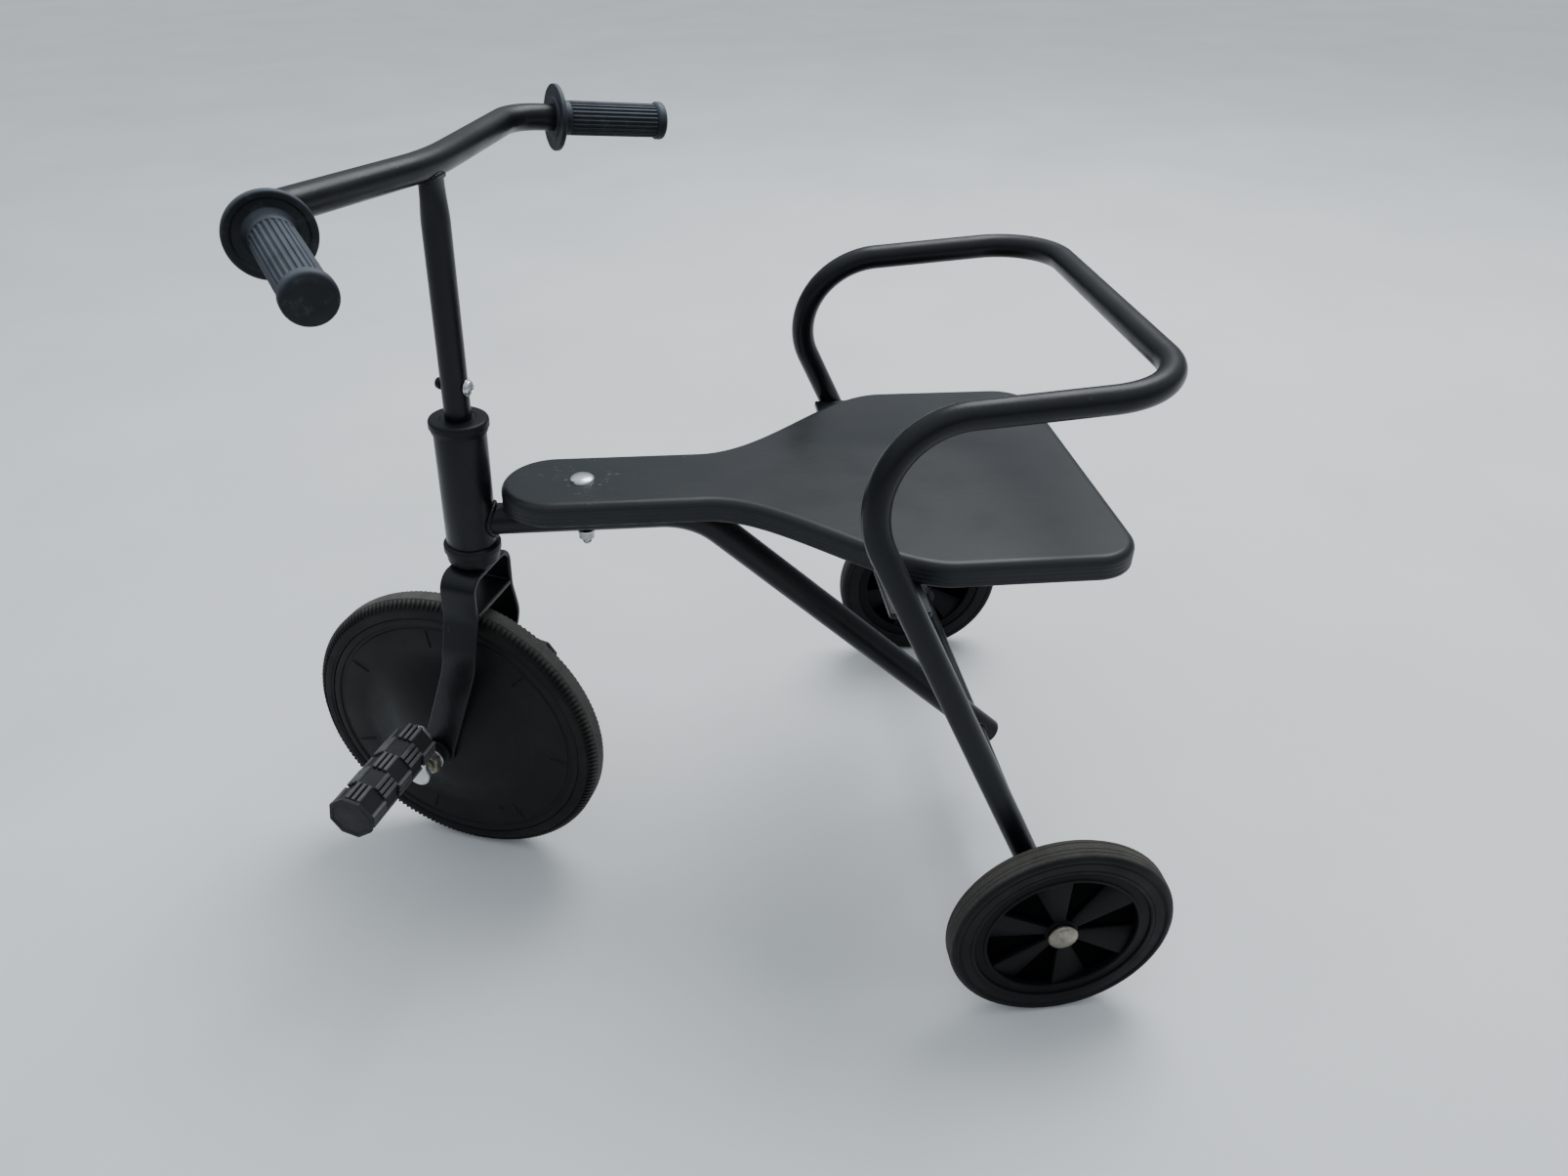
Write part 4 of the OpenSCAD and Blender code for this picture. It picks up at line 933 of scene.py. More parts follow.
def build_seat():
    groove = 0.22
    line = [Vector(p) for p in seat_outline()]
    dense = []
    for a, b in zip(line, line[1:] + line[:1]):
        count = max(1, round((b - a).length / 6.0))
        dense += [a.lerp(b, k / count) for k in range(count)]
    inward = []
    for i, p in enumerate(dense):
        way = (dense[(i + 1) % len(dense)] - dense[i - 1]).normalized()
        inward.append(Vector((-way.y, way.x)))
    low, high = 1.8, 5.6
    rings = [(low + 0.5, -SEAT_T)]
    rings += [(low * (1 - math.sin(t)), -SEAT_T + low * (1 - math.cos(t)))
              for t in (math.pi / 2 * k / 4 for k in range(5))]
    for z in (-12.6, -9.6, -6.6):
        rings += [(0, z - 0.35), (groove, z - 0.1), (groove, z + 0.1), (0, z + 0.35)]
    rings += [(high * (1 - math.cos(t)), -high + high * math.sin(t))
              for t in (math.pi / 2 * k / 10 for k in range(11))]
    rings += [(high + 0.6, 0)]
    loops = [[(*(p + n * inset), z) for p, n in zip(dense, inward)] for inset, z in rings]
    add_piece("seat_board_painted", loft("seat_board_painted", loops, seat_frame), board_paint,
              "main_frame", "seat_paint", "seat_board")


build_seat()


def hex_nut(name, flats, height, bore_d, place):
    """A hexagon nut with turned chamfers on both faces."""
    corner = flats / math.cos(math.pi / 6) / 2
    sides = 72
    loops = []
    for share, z in ((0, 0), (0.45, 0.35), (1, height * 0.16), (1, height * 0.84), (0.45, height - 0.35),
                     (0, height)):
        loop = []
        for k in range(sides):
            a = 2 * math.pi * k / sides
            sector = (a + math.pi / 6) % (math.pi / 3) - math.pi / 6
            across = flats / 2 / math.cos(sector)
            limit = flats / 2 * 0.97 + (corner - flats / 2 * 0.97) * share
            r = min(across, limit)
            loop.append((r * math.cos(a), r * math.sin(a), z))
        loops.append(loop)
    spokes = [2 * math.pi * k / sides for k in range(sides)]
    bore = [[(bore_d / 2 * math.cos(a), bore_d / 2 * math.sin(a), z) for a in spokes] for z in (height, 0.0)]
    return loft(name, loops + bore, place, closed=True)


def washer(name, outer_d, inner_d, thickness, place, steps=64):
    return lathe(name, rounded([(inner_d / 2, 0, 0.15), (outer_d / 2, 0, 0.3), (outer_d / 2, thickness, 0.4),
                                (inner_d / 2, thickness, 0.15)]), place, steps)


def threaded(diameter, z0, z1, pitch=1.0, depth=0.35):
    """Profile of a threaded end from the axis out and up, ending in a small chamfer."""
    r = diameter / 2
    out = []
    count = max(1, int((z1 - z0 - 0.8) / pitch))
    for k in range(count):
        z = z0 + k * pitch
        out += [(r - depth, z + pitch * 0.1), (r, z + pitch * 0.5), (r - depth, z + pitch * 0.9)]
    return out + [(r - 0.6, z1 - 0.5), (r - 1.1, z1), (0, z1)]


def build_seat_bolt():
    head_w, head_h = 16.5, 3.3
    r = head_w / 2
    dome = [(0, head_h)]
    for k in range(1, 11):
        a = math.pi / 2 * k / 10
        dome.append((r * math.sin(a) * 0.985, head_h * (0.12 + 0.88 * math.cos(a))))
    profile = dome + [(r, head_h * 0.05), (r - 0.3, 0.0), (3.0, 0.0), (3.0, -36.0)]
    end = [(p[0], -p[1]) for p in threaded(6.0, 36.0, 48.0)]
    bolt = lathe("seat_bolt_domed", profile + end, seat_frame, 72, ring=False)
    add_piece("seat_bolt_domed", bolt, zinc, "main_frame", "zinc", "seat_bolt")
    below = seat_frame @ turn(180, "X")
    under = SEAT_T + MAIN_D
    add_piece("seat_bolt_ring", washer("seat_bolt_ring", 12, 6.2, 1.6, below @ shift(0, 0, under)), zinc,
              "main_frame", "zinc", "seat_bolt_washer")
    add_piece("seat_bolt_hex", hex_nut("seat_bolt_hex", 10, 5, 6.1, below @ shift(0, 0, under + 1.6)),
              zinc, "main_frame", "zinc", "seat_bolt_nut")


build_seat_bolt()


def build_seat_bar():
    z = -SEAT_T - SEAT_BAR_T
    share = (leg_top.z - (SEAT_H - SEAT_T - SEAT_BAR_T / 2
                          - (BOLT_X - leg_top.x) * math.tan(math.asin(-seat_up.x)))) / (leg_top.z - REAR_R)
    at = leg_top.lerp(leg_foot, share)
    local = seat_frame.inverted() @ at
    reach = local.y - BAR_D / 2 + 3.5
    half = SEAT_BAR_W / 2
    outline = rounded([(local.x - half, -reach, 2.0), (local.x + half, -reach, 2.0),
                       (local.x + half, reach, 2.0), (local.x - half, reach, 2.0)])
    strip = rounded_plate("strip", outline, z, -SEAT_T, 0.8, seat_frame)
    parts = [strip]
    for side in (1, -1):
        y = side * (local.y - BAR_D / 2 + 0.7)
        for height in (z - 0.1, -SEAT_T - 0.9):
            seam = [seat_frame @ Vector((local.x + x, y, height)) for x in np.linspace(-10, 10, 12)]
            parts.append(bead("strip_weld", seam, 2.6, paint, 2.4, closed=False, seed=6.0 + side))
    add_piece("seat_bar_strip", joined("seat_bar_strip", parts), paint, "main_frame", "paint",
              "seat_bar")


build_seat_bar()

# ---- Fork ----


def arch_line(offset):
    """The fork's mid line from the left foot to the middle of the crown, as (y, z) stations."""
    half, end_half, top = FORK_HALF - offset, FORK_END_HALF - offset, CROWN_H - offset
    foot_h = SPLAY_H - SPLAY_L
    corners = [Vector((end_half, 0, 8)), Vector((end_half, 0, foot_h)), Vector((half, 0, SPLAY_H)),
               Vector((half, 0, top)), Vector((0, 0, top))]
    side = bend_route(corners, [30.0, 30.0, FORK_CORNER_R - offset], 4.0)
    lower = [(end_half, z) for z in np.linspace(-FORK_W / 2, 4, 14)]
    return lower + [(p.x, p.z) for p in side]


def fork_lean(z):
    """Where the flat bar's middle lies fore and aft, and its half width, at a height."""
    half = FORK_W / 2
    if z < 0:
        return FORK_OFFSET, math.sqrt(max(half * half - z * z, 0.15))
    # The knee is eased over a stretch on either side
    ease = 14.0
    down = LEAN_H - z
    if down < -ease:
        lean = 0.0
    elif down < ease:
        lean = (down + ease) ** 2 / (4 * ease)
    else:
        lean = down
    return FORK_OFFSET * lean / LEAN_H, half


def build_fork():
    edge = 1.3
    middle = arch_line(FORK_T / 2)
    whole = middle + [(-y, z) for y, z in reversed(middle[:-1])]
    dense = []
    for (y0, z0), (y1, z1) in zip(whole, whole[1:]):
        count = max(1, round(math.hypot(y1 - y0, z1 - z0) / 3.0))
        dense += [(y0 + (y1 - y0) * k / count, z0 + (z1 - z0) * k / count) for k in range(count)]
    dense.append(whole[-1])
    sections = []
    for i, (y, z) in enumerate(dense):
        before, after = dense[max(i - 1, 0)], dense[min(i + 1, len(dense) - 1)]
        way = Vector((after[0] - before[0], after[1] - before[1])).normalized()
        out = Vector((way.y, -way.x))
        x, half = fork_lean(z)
        r = min(edge, half * 0.9)
        t = FORK_T / 2 * min(1.0, 0.35 + half / 6)
        loop = []
        for cx, ct, start in ((half - r, t - min(r, t), 0), (-(half - r), t - min(r, t), 90),
                              (-(half - r), -(t - min(r, t)), 180), (half - r, -(t - min(r, t)), 270)):
            for k in range(5):
                a = math.radians(start + 22.5 * k)
                px = cx + r * math.cos(a)
                pt = ct + min(r, t) * math.sin(a)
                loop.append((x + px, y + out.x * pt, z + out.y * pt))
        sections.append(loop)
    add_piece("fork_flat_bar", loft("fork_flat_bar", sections, steering_frame), paint,
              "steering", "paint", "fork")


build_fork()


def build_brace():
    inner = FORK_HALF - FORK_T
    t = 3.5
    half = FORK_W / 2
    outline = [(-half, -inner), (half, -inner), (half, inner), (-half, inner)]
    parts = [rounded_plate("brace", outline, BRACE_H - t, BRACE_H, 0.7, steering_frame)]
    for side in (1, -1):
        for z in (BRACE_H + 0.4, BRACE_H - t - 0.4):
            seam = [steering_frame @ Vector((x, side * (inner - 0.5), z)) for x in np.linspace(-11, 11, 12)]
            parts.append(bead("brace_weld", seam, 2.3, paint, 2.4, closed=False, seed=7.0 + side))
    add_piece("fork_brace_strip", joined("fork_brace_strip", parts), paint, "steering", "paint",
              "fork_brace")


build_brace()

# ---- Stem and handlebar ----

bar_s = ((steering_frame.inverted() @ (Vector(next(
    m["pos_m"] for m in frame["record"]["mounts"] if m["name"] == "handlebar_clamp_zone")) / MM)).z
    - BAR_RISE * 62.0 / math.hypot(BAR_HALF, BAR_FWD, BAR_RISE))
sweep, fall = math.radians(BAR_SWEEP), math.radians(BAR_FALL)
end_way = Vector((-math.sin(sweep) * math.cos(fall), math.cos(sweep) * math.cos(fall), -math.sin(fall)))
bar_bend = Vector((BAR_FWD, BAR_HALF, bar_s + BAR_RISE))
bar_middle = Vector((0, 0, bar_s))
bar_end = bar_bend + end_way * (BAR_END_L - 3.0)
bar_corners = [bar_end, bar_bend, bar_middle, flipped(bar_bend), flipped(bar_end)]
bar_local = bend_route(bar_corners, [38.0, 200.0, 38.0], 2.5)
bar_centre = min(bar_local, key=lambda p: abs(p.y))


def build_handlebar():
    route = [steering_frame @ p for p in bar_local]
    add_piece("handlebar_tube", tube("handlebar_tube", route, BAR_D, paint), paint,
              "steering", "paint", "handlebar")


def stem_half_depth(z):
    """Half the stem's fore-and-aft depth, pressed flat towards its top."""
    r = BAR_D / 2
    start = bar_s - r - 24.0
    t = min(max((z - start) / 24.0, 0.0), 1.0)
    return r - 3.2 * smooth_step(t) * 0.9


def build_stem():
    foot = HEAD_TOP_S - 1.0
    r = BAR_D / 2
    top = bar_s - r + 3.2
    loops = []
    for z in np.linspace(foot, top, 70):
        depth = stem_half_depth(z)
        width = r + (r - depth) * 0.42
        loop = []
        for k in range(56):
            a = 2 * math.pi * k / 56
            c, s = math.cos(a), math.sin(a)
            power = 1.0 - 0.3 * (r - depth) / 3.2
            loop.append((depth * math.copysign(abs(c) ** power, c),
                         width * math.copysign(abs(s) ** 0.95, s), z))
        loops.append(loop)
    add_piece("stem_tube_pressed", loft("stem_tube_pressed", loops, steering_frame), paint,
              "steering", "paint", "stem_tube")
    seam = []
    depth = stem_half_depth(bar_s - r)
    width = r + (r - depth) * 0.42
    for k in range(64):
        a = 2 * math.pi * k / 64
        x = (depth + 0.3) * math.cos(a)
        y = (width + 0.3) * math.sin(a)
        off = x - bar_centre.x
        drop = math.sqrt(max((r + 0.2) ** 2 - off * off, 0.1))
        seam.append(steering_frame @ Vector((x, y, bar_centre.z - drop)))
    add_piece("handlebar_weld", bead("handlebar_weld", seam, 2.9, paint, 2.2, seed=2.0), paint,
              "steering", "paint")


build_handlebar()
build_stem()


def build_grip(side):
    start = steering_frame @ (bar_bend if side == "left" else flipped(bar_bend))
    end = steering_frame @ (bar_end if side == "left" else flipped(bar_end))
    place = facing(start, end)
    bore = BAR_D / 2 + FIX_GAP
    sleeve, rib_base = GRIP_D / 2, GRIP_D / 2 - 0.95
    end_r, wall = GRIP_END_D / 2, 3.0
    a, z1 = GUARD_AT, BAR_END_L
    collar = z1 - 6.5
    profile = [(0, z1 - wall + FIX_GAP), (bore, z1 - wall + FIX_GAP), (bore, a), (12.2, a, 0.5),
               (12.6, a + 0.9, 0.4), (GUARD_D / 2 - 1.6, a + 0.6, 0.3), (GUARD_D / 2, a + 0.2, 0.7),
               (GUARD_D / 2, a + 3.9, 1.3), (GUARD_D / 2 - 3.4, a + 3.4, 0.9),
               (GUARD_D / 2 - 4.2, a + 2.5, 0.5),
               (sleeve + 1.6, a + 2.7, 1.4), (sleeve, a + 5.0, 0.8), (sleeve, a + 10.5, 0.4),
               (rib_base, a + 11.0, 0.3), (rib_base, collar - 0.9, 0.3), (sleeve + 0.2, collar - 0.3, 0.3),
               (end_r, collar + 0.9, 0.9), (end_r, z1 - 1.0, 2.0), (end_r - 4.5, z1 - 0.15, 3.0), (0, z1)]
    base = lathe("grip", rounded(profile, 5, closed=False), place, ring=False)
    # One lengthwise rib with a round back
    rib_w, rib_z0, rib_z1 = 0.78, a + 10.4, collar - 0.6
    loops = []
    for z, share in ((rib_z0, 0.35), (rib_z0 + 0.5, 0.85), (rib_z0 + 1.1, 1.0), (rib_z1 - 0.9, 1.0),
                     (rib_z1 - 0.3, 0.85), (rib_z1, 0.35)):
        top = rib_base - 0.3 + (sleeve - rib_base + 0.3) * share
        loops.append([(rib_base - 0.5, -rib_w, z), (rib_base + (top - rib_base) * 0.55, -rib_w, z),
                      (top - 0.12, -rib_w * 0.72, z), (top, -rib_w * 0.3, z), (top, rib_w * 0.3, z),
                      (top - 0.12, rib_w * 0.72, z), (rib_base + (top - rib_base) * 0.55, rib_w, z),
                      (rib_base - 0.5, rib_w, z)])
    rib = loft("rib", loops)
    ribs = grow(turned_tree, rib, {"Copies": 24, "Wear": 0.004, "Seed": 4}, grip_rubber, place)
    name = "grip_ribbed_" + side
    add_piece(name, joined(name, [base, ribs]), grip_rubber, "steering", "rubber", "grip_" + side)


build_grip("left")
build_grip("right")


def build_stem_bolt():
    r = BAR_D / 2
    rear = steering_frame @ shift(-r - 1.0, 0, STEM_BOLT_S) @ turn(-90, "Y")
    front = steering_frame @ shift(r, 0, STEM_BOLT_S) @ turn(90, "Y")
    head = [(0, -2), (2.5, -2), (2.5, 0), (4.6, 0), (4.6, 0.5)]
    head += [(4.6 * math.cos(t) * 0.99 + 0.02, 0.5 + 2.3 * math.sin(t)) for t in np.linspace(0.12, 0.9, 7)]
    head += [(2.3, 2.6), (2.1, 2.35), (1.9, 0.7), (0, 0.5)]
    button = lathe("stem_bolt_button", head, rear, 60, ring=False)
    thread = [(2.5, -r * 2 - 0.5)]
    thread += [(p[0], -p[1]) for p in threaded(5.0, r * 2 + 1.0, r * 2 + 4.6, 0.8, 0.3)]
    shank = lathe("shank", [(0, -1), (2.5, -1)] + thread, rear, 40, ring=False)
    add_piece("stem_bolt_button", joined("stem_bolt_button", [button, shank]), zinc, "steering", "zinc",
              "stem_bolt")
    add_piece("stem_bolt_ring", washer("stem_bolt_ring", 10.5, 5.1, 1.0, rear @ shift(0, 0, -1.0)), zinc,
              "steering", "zinc", "stem_bolt_washer")
    r_nut = 4.0
    cap = rounded([(2.6, 0), (r_nut, 0, 0.3), (r_nut, 1.0, 0.4), (r_nut - 0.5, 3.0, 1.2), (2.6, 4.2, 0.7)])
    add_piece("stem_bolt_cap", lathe("stem_bolt_cap", cap, front, 48), bush_plastic, "steering",
              "plastic", "stem_bolt_nut")


build_stem_bolt()


def build_fork_bush(side):
    place = wheel_frame(side)
    y = FORK_END_HALF
    bore = 5.0 + RUN_GAP
    profile = rounded([(bore, y - FORK_T), (7.0, y - FORK_T, 0.4), (7.0, y), (11.0, y, 0.5),
                       (11.0, y + 3.3, 0.7), (9.6, y + 3.6, 0.3), (8.5, y + 3.9, 0.3), (8.5, y + 6.9, 0.9),
                       (bore, y + 7.0)])
    name = "axle_bush_" + side
    add_piece(name, lathe(name, profile, place, 72), bush_plastic, "steering", "plastic",
              "fork_bush_" + side)


for side in SIDES:
    build_fork_bush(side)

# ---- Front wheel ----

front_axis = front_frame @ ALONG_AXLE


def build_front_tyre():
    half = FRONT_TYRE_W / 2
    side_r, bead_r, bead_y = DISC_R + 0.3, DISC_R - 2.3, 7.0
    low = 1.25
    shoulder = FRONT_R - SHOULDER_H
    right = [(FRONT_R - 0.05, 0.0), (FRONT_R - 0.05, TREAD_W / 2 - 0.2, 0.5),
             (FRONT_R - low, TREAD_W / 2 + 0.1, 0.3), (shoulder - low * 0.2, half - low, 0.8),
             (shoulder - 1.4, half - 0.1, 0.8), (side_r + 2.4, half, 0.6), (side_r + 1.7, half - 0.5, 0.3),
             (side_r, half - 0.5, 0.2), (side_r, bead_y), (bead_r, bead_y)]
    profile = rounded(right[1:] + [(c[0], -c[1], *c[2:]) for c in reversed(right[1:])], 3)
    base = lathe("tyre", profile, front_axis, 216)
    # One tread block on the shoulder
    slope = math.atan2(SHOULDER_H, half - TREAD_W / 2)
    blocks = []
    for side in (1, -1):
        loops = []
        for inset, lift in ((0.0, -0.9), (0.0, 0.6), (0.16, 1.0), (0.4, 1.12)):
            u0, u1 = -0.3 + inset, 6.6 - inset
            w0, w1 = 1.12 - inset, 0.95 - inset
            loop = []
            for u, v in ((u0, -w0), (u1, -w1), (u1, w1), (u0, w0)):
                y = TREAD_W / 2 + u * math.cos(slope)
                r = FRONT_R - low - u * math.sin(slope)
                loop.append((r + lift * math.cos(slope), v, side * (y + lift * math.sin(slope))))
            loops.append(loop)
        block = loft("block", loops)
        blocks.append(grow(turned_tree, block, {"Copies": 180, "First Angle": 0.012 * side, "Wear": 0.001,
                                                "Seed": 11 + side}, front_rubber, front_axis))
    add_piece("front_tyre_treaded", joined("front_tyre_treaded", [base] + blocks), front_rubber,
              "front_wheel", "tyre", "front_tyre")


build_front_tyre()


def disc_height(r):
    face_y = FRONT_TYRE_W / 2 - 0.8
    flat_r, bore_r = DISC_R - 27.0, HUB_D / 2 + FIX_GAP
    share = max(math.cos(math.pi / 2 * min(max((r - bore_r) / (flat_r - bore_r), 0), 1)), 0)
    return face_y + (DOME_Y - face_y) * share ** 1.6


def build_disc(side):
    place = wheel_frame(side)
    skin, bead_y = 2.2, 7.0 + FIX_GAP
    face = FRONT_TYRE_W / 2 - 0.8
    flat_r, bore_r, rim_r = DISC_R - 27.0, HUB_D / 2 + FIX_GAP, DISC_R - 2.35
    radii = list(np.linspace(flat_r, bore_r, 26))
    profile = rounded([(rim_r - skin, 0.1), (rim_r, 0.1), (rim_r, bead_y), (DISC_R, bead_y, 0.2),
                       (DISC_R, face, 0.7), (DISC_R - 4.8, face, 0.3), (DISC_R - 5.4, face - 0.9, 0.3),
                       (DISC_R - 7.9, face - 0.9, 0.3), (DISC_R - 8.5, face, 0.3), (flat_r + 3, face)]
                      + [(r, disc_height(r)) for r in radii]
                      + [(r, disc_height(r) - skin) for r in reversed(radii)]
                      + [(rim_r - skin, face - skin)], 3)
    base = lathe("disc", profile, place, 144)
    # A short raised rib that stiffens the flat band
    loops = []
    for r, share in ((75.0, 0.1), (76.2, 0.75), (78.0, 1.0), (88.0, 1.0), (89.4, 0.75), (90.3, 0.1)):
        top = disc_height(r) + 0.9 * share
        foot = disc_height(r) - 0.6
        loops.append([(r, -1.5, foot), (r, -1.1, foot + 0.7), (r, -0.55, top), (r, 0.55, top),
                      (r, 1.1, foot + 0.7), (r, 1.5, foot)])
    rib = loft("rib", loops)
    ribs = grow(turned_tree, rib, {"Copies": 7, "First Angle": math.radians(21), "Seed": 2},
                disc_plastic, place)
    # The mark that the mould's gate leaves
    gate = lathe("gate", rounded([(0, -0.8), (1.9, -0.8), (1.9, 0.55, 0.4), (1.1, 0.6, 0.2), (0.9, 0.2, 0.2),
                                  (0, 0.15)], closed=False),
                 place @ turn(114, "Z") @ shift(76.5, 0, face), 28, ring=False)
    name = "wheel_disc_domed_" + side
    add_piece(name, joined(name, [base, ribs, gate]), disc_plastic, "front_wheel", "plastic",
              "wheel_disc_" + side)


for side in SIDES:
    build_disc(side)


def build_front_axle():
    core = lathe("rod", rounded([(0, -50), (5.0, -50), (5.0, 50), (0, 50)], closed=False), front_axis, 48,
                 ring=False)
    ends = []
    for side in SIDES:
        place = wheel_frame(side)
        ends.append(lathe("end", [(0, 49), (4.95, 49)] + threaded(10.0, 50.0, CRANK_Y, 1.25, 0.4), place, 48,
                          ring=False))
    add_piece("front_axle_rod", joined("front_axle_rod", [core] + ends), brown_zinc, "front_wheel", "zinc",
              "front_axle")


build_front_axle()

# ---- Cranks ----

bush_out_y = FORK_END_HALF + 7.0
crank_washer_y = bush_out_y + SIDE_GAP
crank_washer_t = 1.8
crank_nut_y = crank_washer_y + crank_washer_t
pedal_in_y = CRANK_Y + 2.0
pedal_cap_t = 3.7
pedal_body_end = PEDAL_END_Y - pedal_cap_t
spindle_end_y = pedal_body_end - 9.0 + SIDE_GAP + 1.5 + 2.0


def crank_outline():
    """Two round lobes with a drawn-in waist."""
    r, waist = 8.5, 5.0
    out = []
    for k in range(-14, 15):
        a = math.radians(180 - k * 9.6)
        out.append((r * math.cos(a), r * math.sin(a)))
    lower = []
    for k in range(15):
        t = (k + 1) / 16
        x = 5.95 + (CRANK_L - 11.9) * t
        y = waist + 1.07 * (2 * t - 1) ** 2
        lower.append((x, y))
    far = []
    for k in range(-14, 15):
        a = math.radians(-k * 9.6)
        far.append((CRANK_L + r * math.cos(a), r * math.sin(a)))
    first = sorted(out, key=lambda p: math.atan2(p[1], -p[0]))
    second = sorted(far, key=lambda p: -math.atan2(p[1], p[0] - CRANK_L))
    return first + [(x, y) for x, y in lower] + second + [(x, -y) for x, y in reversed(lower)]


def build_crank(side):
    place = crank_frame(side) @ ALONG_AXLE
    outer, inner = CRANK_Y, CRANK_Y - CRANK_T
    arm = rounded_plate("arm", crank_outline(), inner, outer, 1.1, place)
    pad = rounded([(0, inner + 1), (6.4, inner + 1), (6.4, outer + 1.5, 0.5), (SPINDLE_D / 2, outer + 1.5),
                   (SPINDLE_D / 2, spindle_end_y, 0.6), (0, spindle_end_y)], closed=False)
    boss = lathe("spindle", pad, place @ shift(CRANK_L, 0, 0), 56, ring=False)
    name = "crank_arm_" + side
    add_piece(name, joined(name, [arm, boss]), zinc, "front_wheel", "zinc", "crank_" + side)


for side in SIDES:
    build_crank(side)


def build_crank_fixings():
    rings, nuts = [], []
    for side in SIDES:
        place = wheel_frame(side)
        rings.append(washer("ring", 18, 10.1, crank_washer_t, place @ shift(0, 0, crank_washer_y)))
        nuts.append(hex_nut("nut", 16, 7.0, 10.1, place @ shift(0, 0, crank_nut_y)))
    add_piece("crank_rings", joined("crank_rings", rings), zinc, "front_wheel", "zinc", "crank_washers")
    add_piece("crank_hex_nuts", joined("crank_hex_nuts", nuts), brown_zinc, "front_wheel", "brown_zinc",
              "crank_nuts")


build_crank_fixings()

# ---- Pedals ----


OCTAGON = [math.pi / PEDAL_SIDES * (2 * k + 1) for k in range(PEDAL_SIDES)]


def octagon(width, z):
    r = width / 2 / math.cos(math.pi / PEDAL_SIDES)
    return [(r * math.cos(a), r * math.sin(a), z) for a in OCTAGON]


def build_pedal(side):
    place = pedal_frame(side)
    core_w = PEDAL_D - 2 * LUG_H
    body_l = pedal_body_end - pedal_in_y
    row_l = body_l / LUG_ROWS
    flat_w = core_w * math.tan(math.pi / PEDAL_SIDES)
    bore = SPINDLE_D / 2 + RUN_GAP
    ring = [(bore * math.cos(a) * 1.085, bore * math.sin(a) * 1.085) for a in OCTAGON]
    core = loft("core", [[(x, y, pedal_in_y) for x, y in ring], octagon(core_w - 1.4, pedal_in_y),
                         octagon(core_w, pedal_in_y + 0.7), octagon(core_w, pedal_body_end),
                         [(x, y, pedal_body_end) for x, y in ring]], place, closed=True)
    # One lug: a block with lengthwise teeth across its back
    base, top = core_w / 2 - 0.6, PEDAL_D / 2
    teeth, half, groove = 3, flat_w / 2 - 0.05, 1.15
    floor = top - 2.1
    outline = [(base, -half), (floor, -half)]
    pitch = (2 * half + groove) / teeth
    for k in range(teeth):
        left = -half + k * pitch
        right = left + pitch - groove
        outline += [(top - 0.35, left + 0.12), (top, left + 0.4), (top, right - 0.4),
                    (top - 0.35, right - 0.12)]
        if k < teeth - 1:
            outline += [(floor, right + 0.12), (floor, right + groove - 0.12)]
    outline += [(floor, half), (base, half)]
    loops = []
    for z, squeeze in ((0.3, 0.5), (0.45, 0.15), (0.75, 0.0), (row_l - 0.75, 0.0), (row_l - 0.45, 0.15),
                       (row_l - 0.3, 0.5)):
        loops.append([(x - (squeeze if x > floor + 0.1 else 0), y, z + pedal_in_y) for x, y in outline])
    lug = loft("lug", loops)
    values = {"Rows": LUG_ROWS, "Flats": PEDAL_SIDES, "Row Length": row_l * MM, "Wear": 0.02,
              "Seed": 5 if side == "left" else 9}
    lugs = grow(lug_tree, lug, values, pedal_rubber[side], place)
    name = "pedal_lugged_" + side
    add_piece(name, joined(name, [core, lugs]), pedal_rubber[side], side + "_pedal", "rubber",
              "pedal_" + side)
    cap_w = (PEDAL_D / math.cos(math.pi / PEDAL_SIDES) - 1) * math.cos(math.pi / PEDAL_SIDES)
    z0, z1 = pedal_body_end + 0.02, PEDAL_END_Y
    cap = loft("cap", [octagon(cap_w - 0.8, z0), octagon(cap_w, z0 + 0.4), octagon(cap_w, z1 - 0.9),
                       octagon(cap_w - 1.6, z1), octagon(cap_w - 5.0, z1), octagon(cap_w - 5.6, z1 - 0.5),
                       octagon(2.0, z1 - 0.5)], place)
    name = "pedal_end_" + side
    add_piece(name, cap, cap_rubber, side + "_pedal", "rubber", "pedal_cap_" + side)


for side in SIDES:
    build_pedal(side)

# ---- Rear wheels ----


